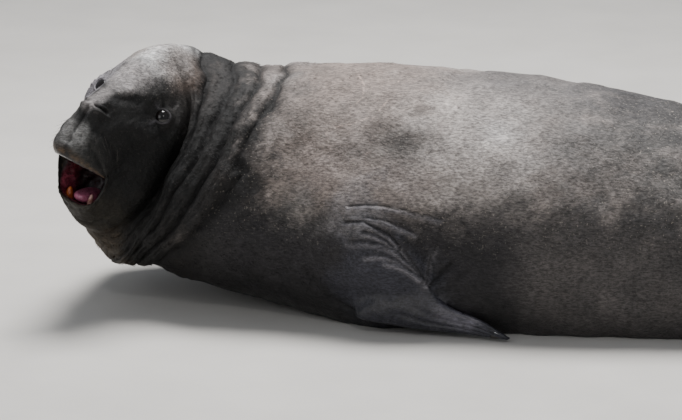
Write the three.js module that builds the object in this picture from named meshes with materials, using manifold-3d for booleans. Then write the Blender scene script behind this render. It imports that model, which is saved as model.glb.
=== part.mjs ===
// A southern elephant seal resting on its belly, head raised and turned to its left, mouth open.
// Millimetres, +Z up. The head points to -X, the animal's left side faces -Y, the tail points to +X.
import * as THREE from "three";
import { mergeVertices } from "three/addons/utils/BufferGeometryUtils.js";
import Module from "manifold-3d";

const wasm = await Module();
wasm.setup();

// Driving dimensions.
const GAP = 0.3; // clearance between neighbouring pieces
const AROUND = 56; // columns of the body's surface
const CUT_SIZE = 1600; // side of a thin cut's square
const SIDES = [1, -1]; // left, right

// The head's own frame: its origin lies midway between the eyes.
const HEAD_ORIGIN = [-715, -220, 632];
const HEAD_YAW = 66.4;
const HEAD_PITCH = 3.2;
const HEAD_ROLL = 16.3;

const EYE = {
  radius: 31,
  corner: [2, 118, 0], // middle of the opening, on the left, in the head's frame
  gaze: [0.82, 0.28, 0.5],
  depth: 27, // from the opening to the eyeball's centre
  lid: 7, // thickness of the skin over the eyeball
  lidBlend: 12, // how softly the lids meet the face
  opening: 21,
  flare: 6, // how much wider the opening is outside
  flatness: 0.82, // the opening's height over its width
  reach: 40, // length of the opening's bore
};
const NOSTRIL = { at: [198, 26, 15], along: [-0.62, 0.6, -0.5], size: [23, 7, 15] };
const CANINE = { tip: [144, 40, -268], lean: [0.35, 0.08, 0.93], length: 64, radius: 10 };
const TONGUE = { at: [92, 0, -306], size: [50, 24, 20], lean: -6 };
// The claws stand near the flipper's tip, each one further back and further from the front edge.
const CLAW = { length: 36, radius: 6, sunk: 10, bend: -5, along: [0.93, -0.075], across: [-0.6, 0.34] };
const RIDGE_HEIGHT = 0.62; // the folds' mean height, as a share of a ridge
const TAIL = { at: [1812, 0, 140], size: [92, 42, 24] };

const COLOURS = {
  back: 0x6f675f,
  flank: 0x7d746d,
  neck: 0x4f463e,
  head: 0x57524e,
  jaw: 0x3d372e,
  flipper: 0x33343b,
  eye: 0x0c0b0b,
  tongue: 0x7a4658,
};

// Directions of a frame that faces -X, then turns to the left, lifts its front and drops its left side.
function frameAt(origin, yaw = 0, pitch = 0, roll = 0) {
  const [y, p, r] = [yaw, pitch, roll].map(THREE.MathUtils.degToRad);
  const forward = new THREE.Vector3(
    -Math.cos(y) * Math.cos(p),
    -Math.sin(y) * Math.cos(p),
    Math.sin(p),
  );
  const level = new THREE.Vector3(Math.sin(y), -Math.cos(y), 0);
  const upright = forward.clone().cross(level);
  const left = level
    .clone()
    .multiplyScalar(Math.cos(r))
    .addScaledVector(upright, -Math.sin(r));
  const up = upright
    .clone()
    .multiplyScalar(Math.cos(r))
    .addScaledVector(level, Math.sin(r));
  const start = new THREE.Vector3(...origin);
  const direction = (f, l, u) =>
    new THREE.Vector3()
      .addScaledVector(forward, f)
      .addScaledVector(left, l)
      .addScaledVector(up, u);
  const point = (f, l, u) => direction(f, l, u).add(start);
  return { forward, left, up, direction, point };
}

const HEAD = frameAt(HEAD_ORIGIN, HEAD_YAW, HEAD_PITCH, HEAD_ROLL);
const GROUND = frameAt([0, 0, 0]);

// A control ring: its top, side and bottom in a frame's forward, left and up, with the squareness of its
// upper and lower halves. steps is the count of surface rows from this ring to the next one.
function ring(frame, top, side, bottom, square, steps) {
  const point = (angle) => {
    const c = Math.cos(angle);
    const s = Math.sin(angle);
    const end = c >= 0 ? top : bottom;
    const power = 2 / (c >= 0 ? square[0] : square[1]);
    const reach = Math.abs(c) ** power;
    const spread = Math.sign(s) * Math.abs(s) ** power;
    return frame.point(
      side[0] + (end[0] - side[0]) * reach,
      side[1] * spread,
      side[2] + (end[1] - side[2]) * reach,
    );
  };
  return { point, steps };
}

// An upright ring of the trunk at a place x, with its heights above the ground.
function trunkRing(x, top, halfWidth, middle, bottom, steps, square = [2.15, 3]) {
  return ring(GROUND, [-x, top], [-x, halfWidth, middle], [-x, bottom], square, steps);
}

// A ring of the neck, turned to the left about its place on the ground plan, with its top, side and bottom
// given as distances forward and heights.
function neckRing([x, y], yaw, top, side, bottom, steps, square = [2.1, 2.3]) {
  return ring(frameAt([x, y, 0], yaw), top, side, bottom, square, steps);
}

function headRing(top, side, bottom, square, steps) {
  return ring(HEAD, top, side, bottom, square, steps);
}

// From the tail's end to the back of the open mouth.
const RINGS = [
  trunkRing(1790, 128, 12, 118, 108, 1),
  trunkRing(1775, 172, 74, 118, 62, 2),
  trunkRing(1700, 235, 128, 122, 14, 2),
  trunkRing(1550, 340, 205, 145, -25, 2),
  trunkRing(1350, 447, 288, 178, -50, 2),
  trunkRing(1100, 545, 355, 212, -70, 3),
  trunkRing(850, 625, 400, 242, -80, 3),
  trunkRing(550, 677, 425, 265, -80, 3),
  trunkRing(250, 700, 430, 275, -80, 3),
  trunkRing(0, 708, 418, 285, -80, 3),
  neckRing([-160, 0], 2, [0, 704], [40, 396, 300], [130, -10], 3, [2.15, 2.4]),
  neckRing([-300, 4], 5, [0, 694], [180, 366, 345], [395, 92], 4, [2.1, 2.2]),
  neckRing([-365, 10], 8, [0, 690], [200, 342, 360], [388, 96], 4, [2.1, 2.2]),
  neckRing([-435, 16], 12, [0, 698], [208, 316, 372], [362, 104], 4),
  neckRing([-520, 25], 20, [0, 724], [190, 288, 400], [318, 108], 4),
  headRing([-100, 171], [-92, 170, -60], [24, -430], [1.42, 2.1], 3),
  headRing([-42, 144], [-34, 166, -60], [50, -418], [1.42, 2.1], 3),
  headRing([28, 112], [14, 150, -70], [74, -406], [1.45, 2], 3),
  headRing([96, 70], [62, 124, -84], [98, -392], [1.7, 1.9], 3),
  headRing([160, 46], [112, 102, -112], [120, -377], [1.8, 1.9], 3),
  headRing([208, 24], [146, 93, -150], [141, -357], [1.7, 2], 3),
  headRing([256, -42], [164, 91, -186], [164, -330], [1.8, 2.2], 3),
  headRing([293, -118], [138, 83, -207], [176, -302], [1.9, 2.8], 2),
  headRing([280, -138], [129, 74, -211], [160, -299], [1.9, 2.8], 2),
  headRing([215, -128], [100, 63, -222], [122, -324], [2, 2.6], 2),
  headRing([120, -156], [66, 48, -240], [74, -332], [2, 2], 2),
  headRing([34, -236], [30, 10, -248], [32, -260], [2, 2], 0),
];

// The neck's grooves lie on these control rings, counted from the tail's end.
const FIRST_GROOVE = 11;
const LAST_GROOVE = 15;
const FOLD_DEPTH = 24;
const FOLD_DEPTH_FAR_SIDE = 7;
const LAST_FOLD = 0.3; // depth of the groove behind the eye, as a share of the others

// Smooth swellings and hollows: a place, a radius and a height each.
const SWELLINGS = SIDES.flatMap((side) => [
  { at: GROUND.point(20, side * 400, 380), radius: 130, height: 22 }, // shoulder
  { at: GROUND.point(-40, side * 425, 270), radius: 105, height: 20 }, // upper arm
  { at: GROUND.point(-120, side * 430, 170), radius: 90, height: 18 }, // elbow
  { at: GROUND.point(-270, side * 420, 230), radius: 80, height: -12 }, // armpit
  { at: HEAD.point(246, side * 48, -92), radius: 48, height: 16 }, // whisker pad
  { at: HEAD.point(165, side * 88, -128), radius: 42, height: 8 }, // cheek of the muzzle
  { at: HEAD.point(212, side * 28, 14), radius: 26, height: 12 }, // wing of the nostril
  { at: HEAD.point(290, side * 0.1, -80), radius: 24, height: -8 }, // groove between the pads
  { at: HEAD.point(22, side * 122, 8), radius: 46, height: -12 }, // hollow round the eye
  { at: HEAD.point(-4, side * 150, -12), radius: 38, height: 14 }, // cheekbone behind the eye
]);

// Where the cuts part the body: upright ones at a place x, and leaning ones in a frame.
const TRUNK_CUTS = [1350, 850, 250];
const NECK_CUT = { x: -480, height: 350, lean: -30 };
const HEAD_CUT = { forward: -54, up: -64, lean: -18 };
const JAW_CUT = { forward: 136, up: -209, lean: 75 };

// The rings joined lengthways by a cubic curve through their points, with knots at their mean distances.
function loft(rings) {
  const samples = 12;
  const knots = [0];
  rings.slice(1).forEach((next, i) => {
    let sum = 0;
    for (let k = 0; k < samples; k += 1) {
      const angle = (k / samples) * 2 * Math.PI;
      sum += next.point(angle).distanceTo(rings[i].point(angle));
    }
    knots.push(knots[i] + sum / samples);
  });
  const last = rings.length - 1;
  const slope = (i, angle) => {
    const [a, b] = [Math.max(i - 1, 0), Math.min(i + 1, last)];
    return rings[b].point(angle).sub(rings[a].point(angle)).divideScalar(knots[b] - knots[a]);
  };
  return (place, angle) => {
    const i = Math.min(Math.floor(place), last - 1);
    const t = place - i;
    const [t2, t3] = [t * t, t * t * t];
    const span = knots[i + 1] - knots[i];
    return new THREE.Vector3()
      .addScaledVector(rings[i].point(angle), 2 * t3 - 3 * t2 + 1)
      .addScaledVector(slope(i, angle), (t3 - 2 * t2 + t) * span)
      .addScaledVector(rings[i + 1].point(angle), -2 * t3 + 3 * t2)
      .addScaledVector(slope(i + 1, angle), (t3 - t2) * span);
  };
}

const smoothBody = loft(RINGS);

// Rounded ridges between sharp grooves, deepest on the left, where the neck bends.
function foldHeight(place, angle) {
  if (place <= FIRST_GROOVE - 1 || place >= LAST_GROOVE + 1) return 0;
  const leftness = 0.5 + 0.5 * Math.sin(angle);
  const deepest = THREE.MathUtils.lerp(FOLD_DEPTH_FAR_SIDE, FOLD_DEPTH, leftness);
  const nearHead = THREE.MathUtils.clamp(place - LAST_GROOVE + 1, 0, 1);
  const depth = deepest * THREE.MathUtils.lerp(1, LAST_FOLD, nearHead);
  const fade = Math.min(1, place - FIRST_GROOVE + 1, LAST_GROOVE + 1 - place);
  const ridge = Math.abs(Math.sin(Math.PI * place)) ** 0.55;
  return depth * fade * (ridge - RIDGE_HEIGHT);
}

const EYES = SIDES.map((side) => {
  const gaze = HEAD.direction(EYE.gaze[0], side * EYE.gaze[1], EYE.gaze[2]).normalize();
  const centre = HEAD.point(EYE.corner[0], side * EYE.corner[1], EYE.corner[2]);
  return { gaze, centre: centre.addScaledVector(gaze, -EYE.depth) };
});

// Lifts a point near an eyeball to the outer face of the lids.
function coverEyes(point) {
  const cover = EYE.radius + EYE.lid;
  EYES.forEach(({ centre }) => {
    const reach = point.distanceTo(centre);
    const over = (cover - reach) / EYE.lidBlend;
    if (over > -4) point.lerp(centre, (-EYE.lidBlend * Math.log1p(Math.exp(over))) / reach);
  });
}

// A point of the body's surface, grown outward by a clearance, and flat where it meets the ground.
function bodyPoint(place, angle, grow) {
  const step = 0.02;
  const last = RINGS.length - 1;
  const point = smoothBody(place, angle);
  const along = smoothBody(Math.min(place + step, last), angle).sub(
    smoothBody(Math.max(place - step, 0), angle),
  );
  const around = smoothBody(place, angle + step).sub(smoothBody(place, angle - step));
  const outward = along.cross(around).normalize();
  const height = SWELLINGS.reduce(
    (sum, s) => sum + s.height * Math.exp(-((point.distanceTo(s.at) / s.radius) ** 2)),
    foldHeight(place, angle) + grow,
  );
  point.addScaledVector(outward, height);
  coverEyes(point);
  point.z = Math.max(point.z, -grow);
  return point;
}

// The mesh with only its positions, and its shared vertices merged.
function bare(geometry) {
  geometry.deleteAttribute("normal");
  geometry.deleteAttribute("uv");
  return mergeVertices(geometry, 1e-3);
}

// A grid of rows and columns closed at both ends, built on a sphere's mesh.
function closedGrid(rows, columns, place) {
  const geometry = new THREE.SphereGeometry(1, columns, rows);
  const position = geometry.attributes.position;
  for (let k = 0; k < position.count; k += 1) {
    const row = Math.floor(k / (columns + 1));
    const p = place(row, (k % (columns + 1)) % columns);
    position.setXYZ(k, p.x, p.y, p.z);
  }
  return bare(geometry);
}

function bodySurface(grow) {
  const places = RINGS.flatMap(({ steps }, i) =>
    Array.from({ length: steps }, (_, k) => i + k / steps),
  );
  places.push(RINGS.length - 1);
  const poleOf = (end) => end.point(0).add(end.point(Math.PI)).multiplyScalar(0.5);
  return closedGrid(places.length + 1, AROUND, (row, column) => {
    if (row === 0) return poleOf(RINGS[0]);
    if (row > places.length) return poleOf(RINGS[RINGS.length - 1]);
    return bodyPoint(places[row - 1], (column / AROUND) * 2 * Math.PI, grow);
  });
}

// A mesh as a solid. The faces of a mirrored shape are turned round, so that they point out.
function solid(geometry) {
  const vertProperties = new Float32Array(geometry.attributes.position.array);
  const triVerts = new Uint32Array(geometry.index.array);
  const shape = new wasm.Manifold(new wasm.Mesh({ numProp: 3, vertProperties, triVerts }));
  if (shape.volume() > 0) return shape;
  return new wasm.Manifold(
    new wasm.Mesh({ numProp: 3, vertProperties, triVerts: triVerts.reverse() }),
  );
}

// The closed surfaces of a solid, the largest first, as many as asked for.
function largest(shape, count = 1) {
  return shape
    .decompose()
    .sort((a, b) => b.volume() - a.volume())
    .slice(0, count);
}

function meshOf(name, shape, colour, roughness = 0.6) {
  const made = largest(shape)[0].getMesh();
  const geometry = new THREE.BufferGeometry()
    .setAttribute("position", new THREE.BufferAttribute(made.vertProperties, 3))
    .setIndex(new THREE.BufferAttribute(made.triVerts, 1));
  const material = new THREE.MeshStandardMaterial({ color: colour, roughness, metalness: 0 });
  const mesh = new THREE.Mesh(geometry, material);
  mesh.name = name;
  return mesh;
}

// A matrix that stands a shape's +Z on a direction, at a point.
function standing(origin, direction, sideways = new THREE.Vector3(0, 0, 1)) {
  const z = direction.clone().normalize();
  const x = sideways.clone().cross(z).normalize();
  const y = z.clone().cross(x);
  return new THREE.Matrix4().makeBasis(x, y, z).setPosition(origin);
}

function placed(geometry, origin, direction, sideways) {
  return solid(geometry.applyMatrix4(standing(origin, direction, sideways)));
}

// A ball stretched along its sides, up and its own axis.
function ball([x, y, z], around = 18, along = 12) {
  return bare(new THREE.SphereGeometry(1, around, along).rotateX(Math.PI / 2).scale(x, y, z));
}

// A thin flat cut through a point, square to a direction.
function thinCut(point, direction) {
  const slab = bare(new THREE.BoxGeometry(CUT_SIZE, CUT_SIZE, GAP));
  return placed(slab, point, direction, new THREE.Vector3(0, 1, 0));
}

// A direction in a frame's middle plane, turned down from its forward direction.
function turnedDown(frame, degrees) {
  const angle = THREE.MathUtils.degToRad(degrees);
  return frame.direction(Math.cos(angle), 0, -Math.sin(angle));
}

// A tapered, curved spike, blunt at its root: a canine or a claw.
function spike({ length, radius }, bend, sides = 8, rows = 5) {
  return closedGrid(rows + 1, sides, (row, column) => {
    const t = THREE.MathUtils.clamp((row - 1) / (rows - 1), 0, 1);
    const angle = (column / sides) * 2 * Math.PI;
    const isPole = row === 0 || row > rows;
    const r = isPole ? 0 : radius * Math.sqrt(1 - 0.97 * t * t);
    return new THREE.Vector3(r * Math.cos(angle), r * Math.sin(angle) + bend * t * t, length * t);
  });
}

// A fin on a box's mesh: along runs from root to tip, across from its front edge to its rear edge.
function fin(lengthSteps, acrossSteps, shape) {
  const geometry = new THREE.BoxGeometry(1, 1, 1, lengthSteps, acrossSteps, 1);
  const position = geometry.attributes.position;
  for (let k = 0; k < position.count; k += 1) {
    const p = shape(position.getX(k) + 0.5, 2 * position.getY(k), Math.sign(position.getZ(k)));
    position.setXYZ(k, p.x, p.y, Math.max(p.z, 0));
  }
  return solid(bare(geometry));
}

// Thickness of a fin across its chord: rounded edges, and a ridge for each of its five digits.
function finThickness(rootAndTip, along, across, ridge) {
  const edge = 0.13 + 0.87 * Math.sqrt(Math.max(0, 1 - across ** 4));
  const digits = 1 + ridge * Math.cos(4 * Math.PI * (across + 1));
  return THREE.MathUtils.lerp(...rootAndTip, along ** 0.6) * edge * digits;
}

// The left fore flipper's front and rear edges, from inside the shoulder to the tip: x, distance out, height.
const FORE_EDGES = [
  [
    [-40, 330, 78],
    [-14, 396, 48],
    [85, 406, 34],
    [185, 408, 22],
    [290, 410, 16],
    [436, 430, 9],
  ],
  [
    [140, 340, 262],
    [172, 412, 196],
    [232, 424, 124],
    [286, 422, 88],
    [362, 424, 60],
    [446, 432, 13],
  ],
];

function foreFlipper(side) {
  const [front, rear] = FORE_EDGES.map(
    (edge) => new THREE.CatmullRomCurve3(edge.map(([x, y, z]) => new THREE.Vector3(x, -side * y, z))),
  );
  const shape = (along, across, face) => {
    const start = front.getPoint(along);
    const heading = front.getTangent(along).add(rear.getTangent(along)).normalize();
    const chord = rear.getPoint(along).sub(start);
    const outward = heading.clone().cross(chord).normalize();
    if (outward.y * side > 0) outward.negate();
    const thickness = finThickness([72, 12], along, across, 0.16 * along);
    return start
      .addScaledVector(chord, (across + 1) / 2)
      .addScaledVector(outward, (face * thickness) / 2);
  };
  const flipper = fin(12, 12, shape);
  const claws = [0, 1, 2, 3, 4].map((digit) => {
    const [along, across] = [CLAW.along, CLAW.across].map(([first, step]) => first + step * digit);
    const root = shape(along, across, 0.7);
    const heading = shape(along + 0.05, across, 1).sub(shape(along, across, 1)).normalize();
    return placed(spike(CLAW, CLAW.bend, 6, 4), root.addScaledVector(heading, -CLAW.sunk), heading);
  });
  return claws.reduce((shapeSoFar, claw) => shapeSoFar.add(claw), flipper);
}

const HIND = { root: [1665, 76, 108], heading: 18, spread: 15, length: 520, halfRoot: 52 };

function hindFlipper(side) {
  const [x, y, z] = HIND.root;
  return fin(12, 14, (along, across, face) => {
    const angle = THREE.MathUtils.degToRad(HIND.heading + HIND.spread * across);
    const notch = 0.8 + 0.2 * across * across + 0.035 * Math.cos(4 * Math.PI * (across + 1));
    const reach = HIND.length * along * notch;
    const base = HIND.halfRoot * across * (1 - 0.3 * along);
    const thickness = finThickness([86, 10], along, across, 0.2 * Math.min(1, 3 * along));
    const height = z * (1 - along) ** 1.6 + 26 - 16 * along + 14 * across * across * along;
    return new THREE.Vector3(
      x + reach * Math.cos(angle),
      -side * (y + reach * Math.sin(angle) + base),
      height + (face * thickness) / 2,
    );
  });
}

const seal = new THREE.Group();
const body = solid(bodySurface(0));
const grownBody = solid(bodySurface(GAP));

const cuts = [
  ...TRUNK_CUTS.map((x) => thinCut(GROUND.point(-x, 0, 300), GROUND.forward)),
  thinCut(GROUND.point(-NECK_CUT.x, 0, NECK_CUT.height), turnedDown(GROUND, NECK_CUT.lean)),
  thinCut(HEAD.point(HEAD_CUT.forward, 0, HEAD_CUT.up), turnedDown(HEAD, HEAD_CUT.lean)),
];
const lengths = largest(
  cuts.reduce((shape, cut) => shape.subtract(cut), body),
  cuts.length + 1,
).sort((a, b) => b.boundingBox().max[0] - a.boundingBox().max[0]);
const [rump, torsoRear, torsoMiddle, chest, neck, wholeHead] = lengths;
seal.add(meshOf("rump", rump, COLOURS.back));
seal.add(meshOf("torso_rear", torsoRear, COLOURS.flank));
seal.add(meshOf("torso_middle", torsoMiddle, COLOURS.flank));
seal.add(meshOf("chest", chest, COLOURS.flank));
seal.add(meshOf("neck", neck, COLOURS.neck));

// The head's sockets, nostrils and teeth, then the cut along the line of the mouth.
let head = wholeHead;
SIDES.forEach((side, i) => {
  const { centre, gaze } = EYES[i];
  const socket = EYE.radius + GAP;
  const mouthOfSocket = EYE.opening + EYE.flare;
  const opening = bare(new THREE.CylinderGeometry(mouthOfSocket, EYE.opening, EYE.reach, 20, 1));
  opening.rotateX(Math.PI / 2).scale(1, EYE.flatness, 1).translate(0, 0, EYE.radius + EYE.lid);
  const at = HEAD.point(NOSTRIL.at[0], side * NOSTRIL.at[1], NOSTRIL.at[2]);
  const along = HEAD.direction(NOSTRIL.along[0], side * NOSTRIL.along[1], NOSTRIL.along[2]);
  const nostril = ball([NOSTRIL.size[1], NOSTRIL.size[2], NOSTRIL.size[0]], 10, 8);
  const tip = HEAD.point(CANINE.tip[0], side * CANINE.tip[1], CANINE.tip[2]);
  const lean = HEAD.direction(CANINE.lean[0], side * CANINE.lean[1], CANINE.lean[2]).normalize();
  const root = tip.addScaledVector(lean, -CANINE.length);
  head = head
    .subtract(solid(ball([socket, socket, socket], 16, 10).translate(...centre)))
    .subtract(placed(opening, centre, gaze, HEAD.up))
    .subtract(placed(nostril, at, along, HEAD.forward))
    .add(placed(spike(CANINE, -6), root, lean, HEAD.forward));
});
const jawCut = thinCut(HEAD.point(JAW_CUT.forward, 0, JAW_CUT.up), turnedDown(HEAD, JAW_CUT.lean));
const [upperHead, lowerJaw] = largest(head.subtract(jawCut), 2);
seal.add(meshOf("head", upperHead, COLOURS.head));
seal.add(meshOf("lower_jaw", lowerJaw, COLOURS.jaw));

const tongue = placed(
  ball([TONGUE.size[1], TONGUE.size[2], TONGUE.size[0]], 16, 12),
  HEAD.point(...TONGUE.at),
  turnedDown(HEAD, TONGUE.lean),
  HEAD.up,
);
seal.add(meshOf("tongue", tongue.subtract(grownBody), COLOURS.tongue, 0.3));

SIDES.forEach((side, i) => {
  const name = side > 0 ? "left" : "right";
  const eyeball = ball([EYE.radius, EYE.radius, EYE.radius], 16, 10).translate(...EYES[i].centre);
  seal.add(meshOf("eye_" + name, solid(eyeball), COLOURS.eye, 0.08));
  const fore = foreFlipper(side).subtract(grownBody);
  seal.add(meshOf("fore_flipper_" + name, fore, COLOURS.flipper, 0.4));
  const hind = hindFlipper(side).subtract(grownBody);
  seal.add(meshOf("hind_flipper_" + name, hind, COLOURS.flipper, 0.5));
});

const tail = placed(
  ball([TAIL.size[1], TAIL.size[2], TAIL.size[0]], 14, 10),
  new THREE.Vector3(...TAIL.at),
  GROUND.forward,
);
seal.add(meshOf("tail", tail.subtract(grownBody), COLOURS.back));

// The origin lies on the ground, under the middle of the seal's box.
const box = new THREE.Box3().setFromObject(seal);
const middle = box.getCenter(new THREE.Vector3());
seal.position.set(-middle.x, -middle.y, -box.min.z);

export default seal;
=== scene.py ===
"""Dresses the resting elephant seal: one skin with folds and lids, short coat, eyes, mouth and whiskers."""
import logging
import math
from dataclasses import dataclass, field
from enum import Enum

import bmesh
import bpy
import numpy as np
from mathutils import Matrix, Vector
from mathutils.bvhtree import BVHTree
from mathutils.kdtree import KDTree


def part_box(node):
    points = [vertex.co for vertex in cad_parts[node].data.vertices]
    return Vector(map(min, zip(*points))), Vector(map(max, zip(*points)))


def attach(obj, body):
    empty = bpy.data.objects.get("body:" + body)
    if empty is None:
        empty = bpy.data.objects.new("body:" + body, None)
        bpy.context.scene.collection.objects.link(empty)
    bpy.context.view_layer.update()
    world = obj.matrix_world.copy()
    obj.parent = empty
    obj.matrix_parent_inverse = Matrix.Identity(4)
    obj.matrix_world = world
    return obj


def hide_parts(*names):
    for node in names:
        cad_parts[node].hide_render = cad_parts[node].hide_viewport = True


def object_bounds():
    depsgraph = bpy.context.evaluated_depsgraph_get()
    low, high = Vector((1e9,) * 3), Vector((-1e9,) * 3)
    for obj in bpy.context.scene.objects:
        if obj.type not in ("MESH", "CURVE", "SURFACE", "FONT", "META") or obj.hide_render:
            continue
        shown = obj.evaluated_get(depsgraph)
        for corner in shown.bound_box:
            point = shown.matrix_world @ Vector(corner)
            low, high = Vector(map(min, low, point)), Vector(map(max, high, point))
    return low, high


Triple = tuple[float, float, float]
Pair = tuple[float, float]
Array = np.ndarray
Object = bpy.types.Object
Mesh = bpy.types.Mesh
Node = bpy.types.Node
Socket = bpy.types.NodeSocket

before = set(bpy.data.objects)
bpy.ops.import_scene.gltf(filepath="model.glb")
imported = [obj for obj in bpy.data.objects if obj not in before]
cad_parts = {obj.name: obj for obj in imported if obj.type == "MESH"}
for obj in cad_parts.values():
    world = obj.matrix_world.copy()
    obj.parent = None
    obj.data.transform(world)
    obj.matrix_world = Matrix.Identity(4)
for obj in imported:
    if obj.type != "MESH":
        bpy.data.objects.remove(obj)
CAD_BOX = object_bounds()
LOG = logging.getLogger("seal")
MM = 0.001
FLOOR_GAP = 0.8
SIDES = (1, -1)
FLESH = (
    "rump", "torso_rear", "torso_middle", "chest", "neck", "head", "lower_jaw", "tail",
    "fore_flipper_left", "fore_flipper_right", "hind_flipper_left", "hind_flipper_right",
)


def unit(vectors: Array) -> Array:
    """Vectors made one long."""
    return vectors / np.maximum(np.linalg.norm(vectors, axis=-1, keepdims=True), 1e-9)


def smooth(low: float, high: float, value: Array) -> Array:
    """A soft step from 0 at low to 1 at high."""
    t = np.clip((value - low) / (high - low), 0.0, 1.0)
    return t * t * (3 - 2 * t)


def bell(distance: Array, radius: float) -> Array:
    """A soft hill of height 1."""
    return np.exp(-((distance / radius) ** 2))


def fold(points: Array) -> Array:
    """Points of both sides laid on one side, by their second measure."""
    return np.stack([points[:, 0], np.abs(points[:, 1]), points[:, 2]], axis=1)


def band(rings: int, count: int, turned: bool = False) -> list:
    """Faces between rings of points.

    Args:
        rings: How many rings there are.
        count: Points in each ring.
        turned: Whether the faces run the other way round.

    Returns:
        Faces as lists of point numbers.
    """
    faces = []
    for r in range(rings - 1):
        for c in range(count):
            here, beside = r * count + c, r * count + (c + 1) % count
            face = [here, beside, beside + count, here + count]
            faces.append([face[0], *face[:0:-1]] if turned else face)
    return faces


def caps(rings: int, count: int) -> list:
    """Two faces that close the first and the last ring."""
    return [list(range(count))[::-1], [(rings - 1) * count + c for c in range(count)]]


def tips(rings: int, count: int) -> list:
    """Faces that close turned rings with two more points, one for each end."""
    last = (rings - 1) * count
    start = [[rings * count, c, (c + 1) % count] for c in range(count)]
    return start + [[rings * count + 1, last + (c + 1) % count, last + c] for c in range(count)]


def search(points: Array) -> KDTree:
    """A search tree of points."""
    tree = KDTree(len(points))
    for index, point in enumerate(points):
        tree.insert(point, index)
    tree.balance()
    return tree


@dataclass(frozen=True)
class Axes:
    """A frame that faces -X, then turns to the left, lifts its front and drops its left side."""

    origin: Triple
    yaw: float = 0.0
    pitch: float = 0.0
    roll: float = 0.0

    def rows(self) -> Array:
        """Forward, left and up, as rows."""
        y, p, r = (math.radians(v) for v in (self.yaw, self.pitch, self.roll))
        forward = np.array([-math.cos(y) * math.cos(p), -math.sin(y) * math.cos(p), math.sin(p)])
        level = np.array([math.sin(y), -math.cos(y), 0.0])
        upright = np.cross(forward, level)
        left = level * math.cos(r) - upright * math.sin(r)
        up = upright * math.cos(r) + level * math.sin(r)
        return np.array([forward, left, up])

    def place(self, local: Array) -> Array:
        """Points given as forward, left and up, in the model's frame."""
        return np.asarray(local, float) @ self.rows() + np.array(self.origin)

    def local(self, points: Array) -> Array:
        """Points of the model in forward, left and up."""
        return (points - np.array(self.origin)) @ self.rows().T


HEAD = Axes((-715, -220, 632), 66.4, 3.2, 16.3)
GROUND = Axes((0, 0, 0))


@dataclass(frozen=True)
class Ring:
    """A control ring: top, side and bottom in a frame, with the squareness of its halves."""

    axes: Axes
    top: Pair
    side: Triple
    bottom: Pair
    square: Pair

    def points(self, angle: Array) -> Array:
        """Points of the ring at angles counted from its top towards the left."""
        c, s = np.cos(angle), np.sin(angle)
        upper = c >= 0
        power = 2 / np.where(upper, *self.square)
        reach = np.abs(c) ** power
        spread = np.sign(s) * np.abs(s) ** power
        forward = self.side[0] + (np.where(upper, self.top[0], self.bottom[0]) - self.side[0]) * reach
        height = self.side[2] + (np.where(upper, self.top[1], self.bottom[1]) - self.side[2]) * reach
        return self.axes.place(np.stack([forward, self.side[1] * spread, height], axis=-1))


def trunk(x: float, top: float, half: float, middle: float, bottom: float) -> Ring:
    """An upright ring of the trunk."""
    return Ring(GROUND, (-x, top), (-x, half, middle), (-x, bottom), (2.15, 3))


def neck(at: Pair, yaw: float, top: Pair, side: Triple,
         bottom: Pair, square: Pair = (2.1, 2.3)) -> Ring:
    """A ring of the neck, turned to the left."""
    return Ring(Axes((at[0], at[1], 0), yaw), top, side, bottom, square)


def skull(top: Pair, side: Triple, bottom: Pair,
          square: Pair) -> Ring:
    """A ring of the head."""
    return Ring(HEAD, top, side, bottom, square)


RINGS = (
    trunk(1790, 128, 12, 118, 108),
    trunk(1775, 172, 74, 118, 62),
    trunk(1700, 235, 128, 122, 14),
    trunk(1550, 340, 205, 145, -25),
    trunk(1350, 447, 288, 178, -50),
    trunk(1100, 545, 355, 212, -70),
    trunk(850, 625, 400, 242, -80),
    trunk(550, 677, 425, 265, -80),
    trunk(250, 700, 430, 275, -80),
    trunk(0, 708, 418, 285, -80),
    neck((-160, 0), 2, (0, 704), (40, 396, 300), (130, -10), (2.15, 2.4)),
    neck((-300, 4), 5, (0, 694), (180, 366, 345), (395, 92), (2.1, 2.2)),
    neck((-365, 10), 8, (0, 690), (200, 342, 360), (388, 96), (2.1, 2.2)),
    neck((-435, 16), 12, (0, 698), (208, 316, 372), (362, 104)),
    neck((-520, 25), 20, (0, 724), (190, 288, 400), (318, 108)),
    skull((-100, 171), (-92, 170, -60), (24, -430), (1.42, 2.1)),
    skull((-42, 144), (-34, 166, -60), (50, -418), (1.42, 2.1)),
    skull((28, 112), (14, 150, -70), (74, -406), (1.45, 2)),
    skull((96, 70), (62, 124, -84), (98, -392), (1.7, 1.9)),
    skull((160, 46), (112, 102, -112), (120, -377), (1.8, 1.9)),
    skull((208, 24), (146, 93, -150), (141, -357), (1.7, 2)),
    skull((256, -42), (164, 91, -186), (164, -330), (1.8, 2.2)),
    skull((293, -118), (138, 83, -207), (176, -302), (1.9, 2.8)),
    skull((280, -138), (129, 74, -211), (160, -299), (1.9, 2.8)),
    skull((215, -128), (100, 63, -222), (122, -324), (2, 2.6)),
    skull((120, -156), (66, 48, -240), (74, -332), (2, 2)),
    skull((34, -236), (30, 10, -248), (32, -260), (2, 2)),
)


@dataclass(frozen=True)
class Eye:
    """One eye: its side, and the sizes of its ball and lids."""

    side: int
    radius: float = 31.0
    corner: Triple = (2, 118, 0)
    gaze: Triple = (0.82, 0.28, 0.5)
    depth: float = 27.0
    lid: float = 7.0
    blend: float = 12.0
    half_width: float = 24.0
    half_height: float = 20.0

    def axes(self) -> Array:
        """Across, up and out of the opening, as rows."""
        out = unit(np.array(self.gaze) * (1, self.side, 1) @ HEAD.rows())
        across = unit(np.cross(HEAD.rows()[2], out))
        return np.array([across, np.cross(out, across), out])

    def centre(self) -> Array:
        """The middle of the eyeball."""
        return HEAD.place(np.array(self.corner) * (1, self.side, 1)) - self.axes()[2] * self.depth


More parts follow.
